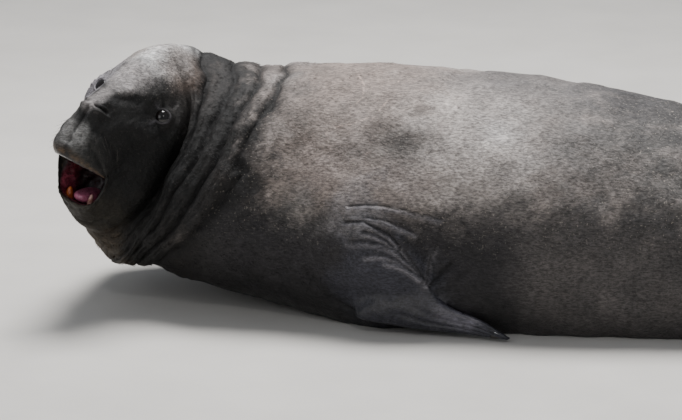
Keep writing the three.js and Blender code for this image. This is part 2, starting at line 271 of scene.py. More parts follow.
EYES = tuple(Eye(side) for side in SIDES)


def shift() -> Array:
    """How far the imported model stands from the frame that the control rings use, in metres."""
    low, high = (np.array(corner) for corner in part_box("eye_left"))
    return (low + high) / 2 - EYES[0].centre() * MM


SHIFT = shift()


class Loft:
    """The body's rings joined lengthways by a cubic curve through their points."""

    def __init__(self, rings: tuple[Ring, ...]) -> None:
        """Spaces the rings by their mean distances."""
        self.rings = rings
        self.last = len(rings) - 1
        ring_angles = np.arange(12) / 12 * 2 * math.pi
        points = np.array([ring.points(ring_angles) for ring in rings])
        steps = np.linalg.norm(np.diff(points, axis=0), axis=-1).mean(axis=-1)
        self.knots = np.concatenate([[0.0], np.cumsum(steps)])

    def at(self, place: Array, angle: Array) -> Array:
        """Points of the smooth body.

        Args:
            place: Places lengthways, in rings from the tail's end.
            angle: Angles from the top towards the left.

        Returns:
            One point for each pair, in millimetres.
        """
        result = np.zeros((len(place), 3))
        spans = np.minimum(place.astype(int), self.last - 1)
        for i in range(self.last):
            chosen = np.nonzero(spans == i)[0]
            if not len(chosen):
                continue
            a = angle[chosen]
            ends = [min(max(k, 0), self.last) for k in (i - 1, i, i + 1, i + 2)]
            before, start, end, after = (self.rings[k].points(a) for k in ends)
            out = (end - before) / (self.knots[ends[2]] - self.knots[ends[0]])
            into = (after - start) / (self.knots[ends[3]] - self.knots[ends[1]])
            t = (place[chosen] - i)[:, None]
            span = self.knots[i + 1] - self.knots[i]
            result[chosen] = (start * (2 * t**3 - 3 * t**2 + 1) + out * (t**3 - 2 * t**2 + t) * span
                              + end * (3 * t**2 - 2 * t**3) + into * (t**3 - t**2) * span)
        return result


@dataclass(frozen=True)
class Swelling:
    """A soft swelling, or a hollow where its height is negative."""

    at: Triple
    radius: float
    height: float
    axes: Axes = HEAD

    def lift(self, points: Array) -> Array:
        """Its height at each point, on both sides of the animal."""
        middles = [self.axes.place(np.array(self.at) * (1, side, 1)) for side in SIDES]
        return sum(self.height * bell(np.linalg.norm(points - at, axis=1), self.radius) for at in middles)


SWELLINGS = (
    Swelling((20, 400, 380), 130, 22, GROUND),
    Swelling((-40, 425, 270), 105, 20, GROUND),
    Swelling((-120, 430, 170), 90, 18, GROUND),
    Swelling((-270, 420, 230), 80, -12, GROUND),
    Swelling((246, 48, -92), 48, 16),
    Swelling((165, 88, -128), 42, 8),
    Swelling((212, 28, 14), 26, 12),
    Swelling((290, 0.1, -80), 24, -8),
    Swelling((22, 122, 8), 46, -12),
    Swelling((54, 92, 26), 38, -6),
    Swelling((-4, 150, -12), 38, 14),
)


@dataclass(frozen=True)
class Folds:
    """The neck's deep folds, with finer ones between them."""

    first: int = 11
    last: int = 15
    depth: float = 24.0
    far_depth: float = 7.0
    mean: float = 0.62

    def wander(self, points: Array) -> Array:
        """How far the folds stray from even places."""
        return Waves(12, 300).at(points) * 0.13 + Waves(13, 95).at(points) * 0.06

    def lift(self, place: Array, angle: Array) -> Array:
        """Rounded ridges between sharp grooves, deepest on the left."""
        leftness = 0.5 + 0.5 * np.sin(angle)
        depth = self.far_depth + (self.depth - self.far_depth) * leftness
        depth *= 1 - 0.7 * np.clip(place - self.last + 1, 0, 1)
        fade = np.clip(np.minimum(place - self.first + 1, self.last + 1 - place), 0, 1)
        ridge = np.abs(np.sin(math.pi * place)) ** 0.5
        between = bell(np.mod(place, 1) - 0.5, 0.1) * 0.2
        return depth * fade * (ridge - between - self.mean)

    def groove(self, place: Array, angle: Array) -> Array:
        """How deep in a groove each point lies, 0 to 1."""
        fade = np.clip(np.minimum(place - self.first + 1, self.last + 1 - place), 0, 1)
        fade *= 1 - 0.7 * np.clip(place - self.last + 1, 0, 1)
        return fade * (1 - np.abs(np.sin(math.pi * place)) ** 0.55) * (0.65 + 0.35 * np.sin(angle))


class Waves:
    """Smooth seeded unevenness made of crossing waves."""

    def __init__(self, seed: int, length: float, count: int = 22) -> None:
        """Chooses the waves' directions and phases."""
        rng = np.random.default_rng(seed)
        self.ways = unit(rng.normal(size=(count, 3))) * (2 * math.pi / length)
        self.ways *= rng.uniform(0.6, 1.6, (count, 1))
        self.phases = rng.uniform(0, 2 * math.pi, count)

    def at(self, points: Array) -> Array:
        """Values of about -1 to 1."""
        total = np.zeros(len(points))
        for way, phase in zip(self.ways, self.phases):
            total += np.sin(points @ way + phase)
        return total / math.sqrt(len(self.phases)) / 1.4


@dataclass(frozen=True)
class Trace:
    """A line on the skin, with the width and height of what follows it, and how dark the painted shade laid
    along it is.
    """

    points: tuple[tuple[float, ...], ...]
    radius: float
    height: float
    mark: float = 0.0

    def distance(self, points: Array, line: Array) -> Array:
        """The distance from each point to the line."""
        best = np.full(len(points), 1e9)
        for a, b in zip(line[:-1], line[1:]):
            way = b - a
            t = np.clip((points - a) @ way / max(way @ way, 1e-9), 0, 1)
            best = np.minimum(best, np.linalg.norm(points - a - t[:, None] * way, axis=1))
        return best


@dataclass(frozen=True)
class Camera:
    """The photograph's view: where the camera stands and how it looks."""

    azimuth: float = 9.0
    elevation: float = 15.0
    distance: float = 12000.0
    focal: float = 3960.0
    width: int = 682
    height: int = 420
    offset: Pair = (-118.18, 257.58)

    def rows(self) -> Array:
        """Right, up and towards the camera, as rows."""
        a, e = math.radians(self.azimuth), math.radians(self.elevation)
        return np.array([
            [math.cos(a), math.sin(a), 0],
            [-math.sin(a) * math.sin(e), math.cos(a) * math.sin(e), math.cos(e)],
            [math.sin(a) * math.cos(e), -math.cos(a) * math.cos(e), math.sin(e)],
        ])

    def position(self) -> Array:
        """Where the camera stands, in the rings' millimetres."""
        return np.array([*self.offset, self.distance]) @ self.rows()

    def ray(self, u: float, v: float) -> Array:
        """The direction of the view through a point of the picture."""
        across = (u - self.width / 2) / self.focal
        down = (v - self.height / 2) / self.focal
        return unit(np.array([across, -down, -1.0]) @ self.rows())

    def build(self) -> None:
        """Makes the scene's camera."""
        data = bpy.data.cameras.new("view")
        data.sensor_width = 36.0
        data.lens = self.focal / self.width * 36.0
        data.clip_end = 100.0
        camera = bpy.data.objects.new("view", data)
        right, up, back = self.rows()
        place = self.position() * MM + SHIFT
        rows = [[right[k], up[k], back[k], place[k]] for k in range(3)]
        camera.matrix_world = Matrix([*rows, [0, 0, 0, 1]])
        bpy.context.scene.collection.objects.link(camera)
        bpy.context.scene.camera = camera


CAMERA = Camera()


def mesh_object(name: str, points: Array, faces: list) -> Object:
    """An object made of points and faces.

    Args:
        name: The object's name.
        points: Points in the rings' millimetres.
        faces: Faces as lists of point numbers.

    Returns:
        The object, smooth, at the origin.
    """
    mesh = bpy.data.meshes.new(name)
    mesh.from_pydata((points * MM + SHIFT).tolist(), [], faces)
    mesh.shade_smooth()
    mesh.update()
    made = bpy.data.objects.new(name, mesh)
    bpy.context.scene.collection.objects.link(made)
    return made


def positions(mesh: Mesh) -> Array:
    """A mesh's points in the rings' millimetres."""
    flat = np.empty(len(mesh.vertices) * 3)
    mesh.vertices.foreach_get("co", flat)
    return (flat.reshape(-1, 3) - SHIFT) / MM


def move_points(mesh: Mesh, points: Array) -> None:
    """Puts a mesh's points at places given in the rings' millimetres."""
    mesh.vertices.foreach_set("co", (points * MM + SHIFT).ravel())
    mesh.update()


def normals(mesh: Mesh) -> Array:
    """The normals at a mesh's points."""
    flat = np.empty(len(mesh.vertices) * 3)
    mesh.vertex_normals.foreach_get("vector", flat)
    return flat.reshape(-1, 3)


def store(mesh: Mesh, name: str, values: Array) -> None:
    """Keeps a value, vector or colour for each point of a mesh."""
    kinds = {1: ("FLOAT", "value"), 3: ("FLOAT_VECTOR", "vector"), 4: ("FLOAT_COLOR", "color")}
    width = 1 if values.ndim == 1 else values.shape[1]
    kind, key = kinds[width]
    old = mesh.attributes.get(name)
    if old:
        mesh.attributes.remove(old)
    mesh.attributes.new(name, kind, "POINT").data.foreach_set(key, values.astype(np.float32).ravel())


def read(mesh: Mesh, name: str) -> Array:
    """The values kept for each point of a mesh."""
    values = np.empty(len(mesh.vertices), np.float32)
    mesh.attributes[name].data.foreach_get("value", values)
    return values.astype(float)


class Spline:
    """A centripetal curve through points, as the flippers' edges follow."""

    def __init__(self, points: list[Triple]) -> None:
        """Adds a mirrored point before the first and after the last."""
        p = np.array(points, float)
        self.points = np.vstack([2 * p[0] - p[1], p, 2 * p[-1] - p[-2]])
        self.count = len(p)

    def at(self, t: Array) -> Array:
        """Points of the curve, t from 0 to 1."""
        place = np.clip(t, 0, 1) * (self.count - 1)
        i = np.minimum(place.astype(int), self.count - 2)
        w = (place - i)[:, None]
        x0, x1, x2, x3 = (self.points[i + k] for k in range(4))
        pairs = ((x0, x1), (x1, x2), (x2, x3))
        d0, d1, d2 = (np.linalg.norm(b - a, axis=1)[:, None] ** 0.5 for a, b in pairs)
        t1 = ((x1 - x0) / d0 - (x2 - x0) / (d0 + d1) + (x2 - x1) / d1) * d1
        t2 = ((x2 - x1) / d1 - (x3 - x1) / (d1 + d2) + (x3 - x2) / d2) * d1
        return (x1 + t1 * w + (3 * (x2 - x1) - 2 * t1 - t2) * w**2
                + (2 * (x1 - x2) + t1 + t2) * w**3)

    def heading(self, t: Array) -> Array:
        """Directions along the curve."""
        return unit(self.at(np.minimum(t + 1e-4, 1)) - self.at(np.maximum(t - 1e-4, 0)))


def fin_thickness(root: float, tip: float, along: Array, across: Array,
                  ridge: Array) -> Array:
    """Thickness of a fin: round edges, and a raised ridge for each of its five digits.

    Args:
        root: Thickness at the root.
        tip: Thickness at the tip.
        along: Places from root to tip, 0 to 1.
        across: Places from edge to edge, -1 to 1.
        ridge: How strongly the digits stand out.

    Returns:
        Thicknesses in millimetres.
    """
    edge = 0.1 + 0.9 * np.sqrt(np.maximum(0, 1 - across**4))
    digits = 1 + ridge * np.cos(4 * math.pi * (across + 1))
    return (root + (tip - root) * along**0.6) * edge * digits


@dataclass(frozen=True)
class ForeFlipper:
    """A fore flipper, folded back along the flank."""

    side: int
    front: tuple = (
        (-40, 330, 78), (-14, 396, 48), (85, 406, 34), (185, 408, 22), (290, 410, 16), (436, 430, 9),
    )
    rear: tuple = (
        (140, 340, 262), (172, 412, 196), (232, 424, 124), (286, 422, 88), (362, 424, 60), (446, 432, 13),
    )
    thick: Pair = (69.0, 11.5)

    def surface(self, along: Array, across: Array, face: Array) -> Array:
        """Points of the flipper.

        Args:
            along: Places from root to tip, 0 to 1.
            across: Places from the front edge to the rear edge, -1 to 1.
            face: The inner face, -1, or the outer face, 1.

        Returns:
            Points in the rings' millimetres.
        """
        edges = (self.front, self.rear)
        front, rear = (Spline([(x, -self.side * y, z) for x, y, z in edge]) for edge in edges)
        start = front.at(along)
        heading = unit(front.heading(along) + rear.heading(along))
        chord = rear.at(along) - start
        outward = unit(np.cross(heading, chord))
        outward *= np.where(outward[:, 1] * self.side > 0, -1, 1)[:, None]
        thick = fin_thickness(*self.thick, along, across, 0.2 * along)
        return start + chord * ((across + 1) / 2)[:, None] + outward * (face * thick / 2)[:, None]


@dataclass(frozen=True)
class HindFlipper:
    """A hind flipper, spread flat on the floor behind the tail."""

    side: int
    root: Triple = (1665, 76, 108)
    heading: float = 18.0
    spread: float = 15.0
    length: float = 519.0
    half_root: float = 52.0
    thick: Pair = (84.0, 9.5)

    def surface(self, along: Array, across: Array, face: Array) -> Array:
        """Points of the flipper.

        Args:
            along: Places from root to tip, 0 to 1.
            across: Places from the inner edge to the outer edge, -1 to 1.
            face: The lower face, -1, or the upper face, 1.

        Returns:
            Points in the rings' millimetres.
        """
        angle = np.radians(self.heading + self.spread * across)
        notch = 0.8 + 0.2 * across**2 + 0.035 * np.cos(4 * math.pi * (across + 1))
        reach = self.length * along * notch
        base = self.half_root * across * (1 - 0.3 * along)
        thick = fin_thickness(*self.thick, along, across, 0.26 * np.minimum(1, 3 * along))
        height = self.root[2] * (1 - along) ** 1.6 + 26 - 16 * along + 14 * across**2 * along
        return np.stack([
            self.root[0] + reach * np.cos(angle),
            -self.side * (self.root[1] + reach * np.sin(angle) + base),
            height + face * thick / 2,
        ], axis=1)


def fin_mesh(shape: ForeFlipper | HindFlipper, rows: int, half: int) -> tuple[Array, list]:
    """A closed mesh of a fin.

    Args:
        shape: The fin.
        rows: Rows from root to tip.
        half: Columns on each face.

    Returns:
        Points, and faces as lists of point numbers.
    """
    count = 2 * half
    turn = np.arange(count) / count * 2 * math.pi
    across, face = -np.cos(turn), np.sign(np.sin(turn)) * (np.abs(np.sin(turn)) > 1e-6)
    along = np.repeat(np.linspace(0, 1, rows + 1), count)
    points = shape.surface(along, np.tile(across, rows + 1), np.tile(face, rows + 1))
    points[:, 2] = np.maximum(points[:, 2], FLOOR_GAP)
    return points, band(rows + 1, count) + caps(rows + 1, count)


def union(body: Object, other: Object) -> None:
    """Joins another closed piece into a body, and removes the other piece.

    Args:
        body: The closed object that grows.
        other: The closed object that is joined in.
    """
    join = body.modifiers.new("join", "BOOLEAN")
    join.operation = "UNION"
    join.solver = "MANIFOLD"
    join.object = other
    graph = bpy.context.evaluated_depsgraph_get()
    joined = bpy.data.meshes.new_from_object(body.evaluated_get(graph))
    body.modifiers.clear()
    body.data = joined
    joined.materials.clear()
    joined.polygons.foreach_set("material_index", np.zeros(len(joined.polygons), np.int32))
    joined.shade_smooth()
    bpy.data.objects.remove(other)


def nearest(targets: Array, queries: Array) -> tuple[Array, Array]:
    """The nearest target to each query point.

    Args:
        targets: Points to search.
        queries: Points to ask for.

    Returns:
        Numbers of the nearest targets, and the distances to them.
    """
    tree = search(targets)
    found = [tree.find(point) for point in queries]
    return np.array([f[1] for f in found]), np.array([f[2] for f in found])


def edge_ends(mesh: Mesh) -> Array:
    """The two point numbers of each edge of a mesh."""
    ends = np.empty(len(mesh.edges) * 2, int)
    mesh.edges.foreach_get("vertices", ends)
    return ends.reshape(-1, 2)


def spread(mesh: Mesh, values: Array, rounds: int) -> Array:
    """Values of a mesh's points, blurred over their neighbours."""
    ends = edge_ends(mesh)
    count = np.maximum(np.bincount(ends.ravel(), minlength=len(values)), 1)
    for _ in range(rounds):
        total = np.bincount(ends[:, 0], values[ends[:, 1]], len(values))
        total += np.bincount(ends[:, 1], values[ends[:, 0]], len(values))
        values = (values + total / count) / 2
    return values


def soften(mesh: Mesh, weight: Array, rounds: int) -> None:
    """Smooths a mesh's points towards their neighbours.

    Args:
        mesh: The mesh, which is changed.
        weight: How strongly each point moves, 0 to 1.
        rounds: How many times they move.
    """
    ends = edge_ends(mesh)
    points = positions(mesh)
    count = np.zeros(len(points))
    np.add.at(count, ends.ravel(), 1)
    for _ in range(rounds):
        total = np.zeros_like(points)
        np.add.at(total, ends[:, 0], points[ends[:, 1]])
        np.add.at(total, ends[:, 1], points[ends[:, 0]])
        points += weight[:, None] * 0.6 * (total / np.maximum(count, 1)[:, None] - points)
    move_points(mesh, points)


@dataclass(frozen=True)
class Tail:
    """The short tail, a flattened ball, in millimetres."""

    rows: int = 16
    columns: int = 24
    middle: float = 1812
    height: float = 140
    half_length: float = 91
    half_width: float = 41
    half_thick: float = 23

    def mesh(self) -> tuple[Array, list]:
        """Its points and closed faces."""
        points = []
        for r in range(1, self.rows):
            t = math.pi * r / self.rows
            along = self.middle - self.half_length * math.cos(t)
            for c in range(self.columns):
                a = 2 * math.pi * c / self.columns
                points.append((along, self.half_width * math.sin(t) * math.cos(a),
                               self.height + self.half_thick * math.sin(t) * math.sin(a)))
        points += [(self.middle + end * self.half_length, 0, self.height) for end in (-1, 1)]
        faces = band(self.rows - 1, self.columns)
        first = (self.rows - 1) * self.columns
        last = (self.rows - 2) * self.columns
        for c in range(self.columns):
            n = (c + 1) % self.columns
            faces.append([first, n, c])
            faces.append([first + 1, last + c, last + n])
        return np.array(points, float), faces


@dataclass
class Skin:
    """The seal's one skin, from the tail over the head into the mouth, with its flippers."""

    columns: int = 224
    spacing: dict[int, float] = field(default_factory=lambda: {
        8: 17.0, 10: 14.5, 11: 9.0, 15: 6.4, 22: 5.6, 26: 9.0,
    })
    inset: float = 3.0
    ease: float = 12.0
    seam_reach: float = 32.0
    seam_rounds: int = 14
    eye_radii: Pair = (58, 40)
    nose_spot: tuple[Triple, float] = ((200, 0, 5), 44)
    mouth_spots: tuple[tuple[Triple, float], ...] = (((196, 26, 6), 34), ((262, 36, -74), 52))
    limb_spots: tuple[Triple, ...] = ((40, 420, 290), (160, 420, 290))
    wrist_spots: tuple[Triple, ...] = ((30, 425, 320), (120, 425, 240))
    limb_radius: float = 150
    wrist_radius: float = 95
    folds: Folds = Folds()
    lofted: Loft = field(default_factory=lambda: Loft(RINGS))

    def places(self) -> Array:
        """The rows' places lengthways."""
        rows = []
        for i in range(self.lofted.last):
            gap = next(step for end, step in self.spacing.items() if i < end)
            count = max(2, round((self.lofted.knots[i + 1] - self.lofted.knots[i]) / gap))
            rows.append(i + np.arange(count) / count)
        return np.concatenate([*rows, [self.lofted.last]])

    def form(self, place: Array, angle: Array) -> Array:
        """The body with its folds and swellings, and the lids' cover over the eyeballs.

        Args:
            place: Places lengthways, in rings from the tail's end.
            angle: Angles from the top towards the left.

        Returns:
            Points in the rings' millimetres.
        """
        step = 0.02
        point = self.lofted.at(place, angle)
        along = (self.lofted.at(np.minimum(place + step, self.lofted.last), angle)
                 - self.lofted.at(np.maximum(place - step, 0), angle))
        around = self.lofted.at(place, angle + step) - self.lofted.at(place, angle - step)
        outward = unit(np.cross(along, around))
        stray = place + self.folds.wander(point)
        lift = self.folds.lift(stray, angle) - self.inset + sum(s.lift(point) for s in SWELLINGS)
        point = point + outward * lift[:, None]
        for eye in EYES:
            away = point - eye.centre()
            reach = np.linalg.norm(away, axis=1)
            over = (eye.radius + eye.lid - self.inset - reach) / eye.blend
            near = over > -4
            push = eye.blend * np.log1p(np.exp(np.clip(over, -30, 30))) / reach
            point = np.where(near[:, None], point + away * push[:, None], point)
        return point

    def grid(self) -> Object:
        """The skin's even grid, closed at both ends."""
        places = self.places()
        turn = -math.pi + np.arange(self.columns) / self.columns * 2 * math.pi
        place = np.repeat(places, self.columns)
        angle = np.tile(turn, len(places))
        points = self.form(place, angle)
        ends = [self.lofted.rings[k].points(np.array([0.0, math.pi])).mean(axis=0) for k in (0, -1)]
        size = (len(places), self.columns)
        made = mesh_object("skin", np.vstack([points, ends]), band(*size, turned=True) + tips(*size))
        store(made.data, "place", np.append(place, [0, self.lofted.last]))
        store(made.data, "angle", np.append(angle, [0, 0]))
        return made

    def refine(self, mesh: Mesh, spots: list[tuple[Array, float]]) -> None:
        """Halves the faces near some spots.

        Args:
            mesh: The skin's mesh, which is changed.
            spots: Points in the rings' millimetres, each with a radius.
        """
        bm = bmesh.new()
        bm.from_mesh(mesh)
        edges = set()
        for at, radius in spots:
            middle = Vector(at * MM + SHIFT)
            for face in bm.faces:
                if (face.calc_center_median() - middle).length < radius * MM:
                    edges.update(face.edges)
        bmesh.ops.subdivide_edges(bm, edges=list(edges), cuts=1, use_grid_fill=True)
        bm.to_mesh(mesh)
        bm.free()

    def lids(self, points: Array) -> Array:
        """Opens the lids over each eyeball, with a rim and creases round them."""
        for eye in EYES:
            away = points - eye.centre()
            reach = np.linalg.norm(away, axis=1)
            a, b, out = (away @ eye.axes().T).T
            q = np.hypot(a / eye.half_width, b / eye.half_height) * (eye.radius + 3) / reach
            near = (reach < eye.radius + 38) & (out > 0)
            above = smooth(-0.4, 0.5, b / np.maximum(np.hypot(a, b), 1e-6))
            lid = eye.radius + 2.6 + 1.6 * bell(q - 1.12, 0.09) - (1.4 + 1.8 * above) * bell(q - 1.34, 0.06)
            lid += (0.6 + 1.4 * above) * bell(q - 1.5, 0.09) - 2.2 * above * bell(q - 1.68, 0.06)
            target = lid + (reach - lid) * smooth(1.25, 2.3, q)
            inside = smooth(0.9, 1.0, q)
            target = (eye.radius - 5) * (1 - inside) + target * inside
            moved = eye.centre() + away / reach[:, None] * target[:, None]
            points = np.where(near[:, None] & (q < 2.3)[:, None], moved, points)
        return points

    def build(self) -> Object:
        """Makes the skin: grid, finer faces at eyes, nose, pads and limbs, and the fins joined in."""
        made = self.grid()
        eyes = [HEAD.place(np.array(e.corner) * (1, e.side, 1)) for e in EYES]
        wide, close = self.eye_radii
        nose, reach = self.nose_spot
        self.refine(made.data, [*((at, wide) for at in eyes), (HEAD.place(nose), reach)])
        self.refine(made.data, [(at, close) for at in eyes])
        self.refine(made.data, [(HEAD.place(at), radius) for at, radius in self.mouth_spots])
        for spots, radius in ((self.limb_spots, self.limb_radius), (self.wrist_spots, self.wrist_radius)):
            limbs = [(GROUND.place((-x, side * y, z)), radius) for side in SIDES for x, y, z in spots]
            self.refine(made.data, limbs)
        place, angle = read(made.data, "place"), read(made.data, "angle")
        poles = positions(made.data)
        points = self.form(place, angle)
        ends = (place <= 0) | (place >= self.lofted.last)
        points[ends] = poles[ends]
        points[:, 2] = np.maximum(points[:, 2], FLOOR_GAP)
        move_points(made.data, points)
        lift = Relief().lift(points, place, angle)
        points = points + normals(made.data) * lift[:, None]
        points = self.lids(points)
        points[:, 2] = np.maximum(points[:, 2], FLOOR_GAP)
        move_points(made.data, points)
        return self.join_fins(made, place, angle)

    def hold(self, mesh: Mesh, margin: float = 3.0) -> None:
        """Eases a piece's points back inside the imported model's box.

        Args:
            mesh: The piece's mesh, which is changed.
            margin: How far inside the box it ends, in millimetres.
        """
        points = positions(mesh)
        low, high = ((np.array(corner) - SHIFT) / MM for corner in CAD_BOX)
        for axis in range(3):
            for sign, edge in ((1, high[axis]), (-1, -low[axis])):
                if axis == 2 and sign < 0:
                    continue
                over = sign * points[:, axis] - (edge - margin - self.ease)
                eased = np.where(over > 0, self.ease * (1 - np.exp(-np.maximum(over, 0) / self.ease)), over)
                points[:, axis] = sign * (edge - margin - self.ease + eased)
        move_points(mesh, points)

    def join_fins(self, made: Object, place: Array, angle: Array) -> Object:
        """Joins the flippers and the tail into the skin and softens where they meet.

        Args:
            made: The skin without fins.
            place: Its points' places lengthways.
            angle: Its points' angles from the top.

        Returns:
            The joined skin, which keeps place, angle and fin for each point.
        """
        body = positions(made.data)
        fins = []
        for side in SIDES:
            for shape, rows, half in ((ForeFlipper(side), 54, 30), (HindFlipper(side), 50, 30)):
                points, faces = fin_mesh(shape, rows, half)
                fins.append(points)
                self.add(made, points, faces)
        points, faces = Tail().mesh()
        fins.append(points)
        self.add(made, points, faces)
        fins = np.vstack(fins)
        now = positions(made.data)
        sources = np.vstack([body, fins])
        found, gap = nearest(sources, now)
        on_fin = (found >= len(body)).astype(float)
        seam = now[gap > 0.05]
        _, far = nearest(seam, now)
        soften(made.data, np.clip(1 - far / self.seam_reach, 0, 1), self.seam_rounds)
        index, _ = nearest(body, now)
        store(made.data, "place", place[index])
        store(made.data, "angle", angle[index])
        store(made.data, "fin", on_fin)
        return made

    def add(self, made: Object, points: Array, faces: list) -> None:
        """Joins one closed piece into the skin."""
        piece = mesh_object("fin", points, faces)
        bm = bmesh.new()
        bm.from_mesh(piece.data)
        bmesh.ops.triangulate(bm, faces=[f for f in bm.faces if len(f.verts) > 4])
        bmesh.ops.recalc_face_normals(bm, faces=bm.faces)
        bm.to_mesh(piece.data)
        bm.free()
        union(made, piece)


@dataclass(frozen=True)
class Relief:
    """The small forms of the skin: nose, lips, pads, wrinkles and unevenness."""

    pad_radius: float = 6.0
    pad_height: float = 3.4

    def traces(self) -> list[Trace]:
        """Ridges and grooves of the head, in its own frame, on the left side."""
        return [
            Trace(((192, 30, 30), (162, 24, 42), (118, 26, 54), (84, 40, 60)), 17, 7),
            Trace(((180, 52, -8), (140, 62, 4), (95, 88, 6), (52, 116, -2)), 24, -4),
            Trace(((219, 0, 9), (250, 0, -30), (283, 0, -64), (295, 0, -94), (297, 0, -122)), 8, -11, 0.8),
            Trace(((262, 58, -60), (236, 76, -96), (206, 92, -130)), 12, -3),
            Trace(((230, 80, -128), (190, 98, -160), (150, 104, -188)), 12, 4),
            Trace(((-48, 140, 70), (-62, 156, 20), (-60, 168, -40), (-40, 170, -110)), 12, -5),
            Trace(((-10, 150, -40), (30, 140, -70), (70, 122, -100)), 12, -3),
        ]

    def lift(self, points: Array, place: Array, angle: Array) -> Array:
        """The height of the small forms at each point.

        Args:
            points: The skin's points.
            place: Their places lengthways.
            angle: Their angles from the top.

        Returns:
            Heights in millimetres.
        """
        local = HEAD.local(points)
        mirrored = fold(local)
        lift = np.zeros(len(points))
        outer = smooth(22.6, 22.2, place)
        head = smooth(14.6, 15.6, place) * outer
        for trace in self.traces():
            distance = trace.distance(mirrored, np.array(trace.points, float))
            lift += trace.height * bell(distance, trace.radius)
        lift *= head
        lift += 14 * head * bell(np.linalg.norm(local - (-28, -150, -14), axis=1), 52)
        lift += Waves(3, 170).at(points) * 4.5 * smooth(15.5, 14, place)
        lift += Waves(4, 60).at(points) * (1.6 * smooth(16, 14, place) + 0.9 * head)
        chin = smooth(19, 21.5, place) * smooth(-0.2, -0.7, np.cos(angle))
        lift += Waves(5, 26).at(points) * (0.7 + 0.8 * chin)
        lift += self.pads(local, head) + self.fine_folds(points, place, angle)
        lift += self.lips(place, angle, points)
        lift += Waves(9, 30).at(points) * 3.0 * smooth(22.8, 23.6, place)
        return lift

    def pads(self, local: Array, head: Array) -> Array:
        """Rows of low bumps where the whiskers grow."""
        lift = np.zeros(len(local))
        for at in whisker_places():
            for side in SIDES:
                away = np.linalg.norm(local - at * (1, side, 1), axis=1)
                lift += bell(away, self.pad_radius) * self.pad_height
        return lift * head

    def fine_folds(self, points: Array, place: Array, angle: Array) -> Array:
        """Finer wrinkles between the deep folds and under the throat."""
        wobble = Waves(6, 240).at(points) * 0.35 + Waves(7, 90).at(points) * 0.12
        fade = smooth(9.4, 11.4, place) * smooth(16.2, 14.8, place)
        lower = smooth(0.75, -0.6, np.cos(angle)) * (0.45 + 0.55 * smooth(-0.6, 0.6, np.sin(angle)))
        wave = np.abs(np.sin(math.pi * (3 * (place + wobble)))) ** 0.6 - 0.6
        finer = np.abs(np.sin(math.pi * (7 * (place + wobble * 1.6)))) ** 0.8 - 0.6
        return fade * (wave * (1.5 + 5.5 * lower) + finer * (0.8 + 1.8 * lower))

    def lips(self, place: Array, angle: Array, points: Array) -> Array:
        """A rolled edge along the mouth, lumpy on the lower lip."""
        lower = smooth(0.3, -0.5, np.cos(angle))
        roll = 3.2 * bell(place - 21.75, 0.22) - 3.4 * bell(place - 21.2, 0.2) * (1 - 0.4 * lower)
        lumps = Waves(8, 17).at(points) * 2.6 * lower * bell(place - 21.8, 0.6)
        return roll + lumps


def whisker_places() -> Array:
    """Where the whiskers stand on the left pad, in the head's frame."""
    starts = ((-48, 262, 4), (-66, 276, 5), (-85, 284, 6), (-103, 284, 6), (-119, 276, 5))
    places = []
    for r, (height, first, count) in enumerate(starts):
        for c in range(count):
            left = 26 + 13.5 * c - 0.8 * c * c + 3 * (r % 2)
            places.append((first - 17 * c - 2.2 * c * c, left, height - 2.5 * c))
    return np.array(places, float)


def tone(red: int, green: int, blue: int) -> Triple:
    """A colour seen as these display values, for a shader."""
    shares = (v / 255 for v in (red, green, blue))
    return tuple(v / 12.92 if v < 11 / 255 else ((v + 0.055) / 1.055) ** 2.4 for v in shares)


class Nodes:
    """Adds and links the nodes of one tree."""

    tree: bpy.types.NodeTree

    def add(self, kind: str, inputs: dict[str, object] | None = None, **settings: object) -> Node:
        """Adds a node.

        Args:
            kind: The node's type.
            inputs: What its inputs hold or link to, by name, or by name#place where a name is repeated.
            settings: The node's own settings.

        Returns:
            The node.
        """
        node = self.tree.nodes.new(kind)
        for key, value in settings.items():
            setattr(node, key, value)
        for label, value in (inputs or {}).items():
            name, _, order = label.partition("#")
            sockets = [s for s in node.inputs if s.name == name and s.enabled]
            self.feed(sockets[int(order or 0)], value)
        return node

    def feed(self, socket: Socket, value: object) -> None:
        """Links one input to a node or an output, or sets it; None leaves it as it is."""
        if isinstance(value, Node):
            value = next(s for s in value.outputs if s.enabled)
        if isinstance(value, Socket):
            self.tree.links.new(value, socket)
        elif value is not None:
            socket.default_value = value

    def vector(self, operation: str, a: object, b: object) -> Node:
        """A sum of two vectors, or of a vector and a number to scale it."""
        second = "Scale" if operation == "SCALE" else "Vector#1"
        return self.add("ShaderNodeVectorMath", {"Vector": a, second: b}, operation=operation)

    def number(self, operation: str, a: object, b: object) -> Node:
        """A sum of two numbers."""
        return self.add("ShaderNodeMath", {"Value": a, "Value#1": b}, operation=operation)


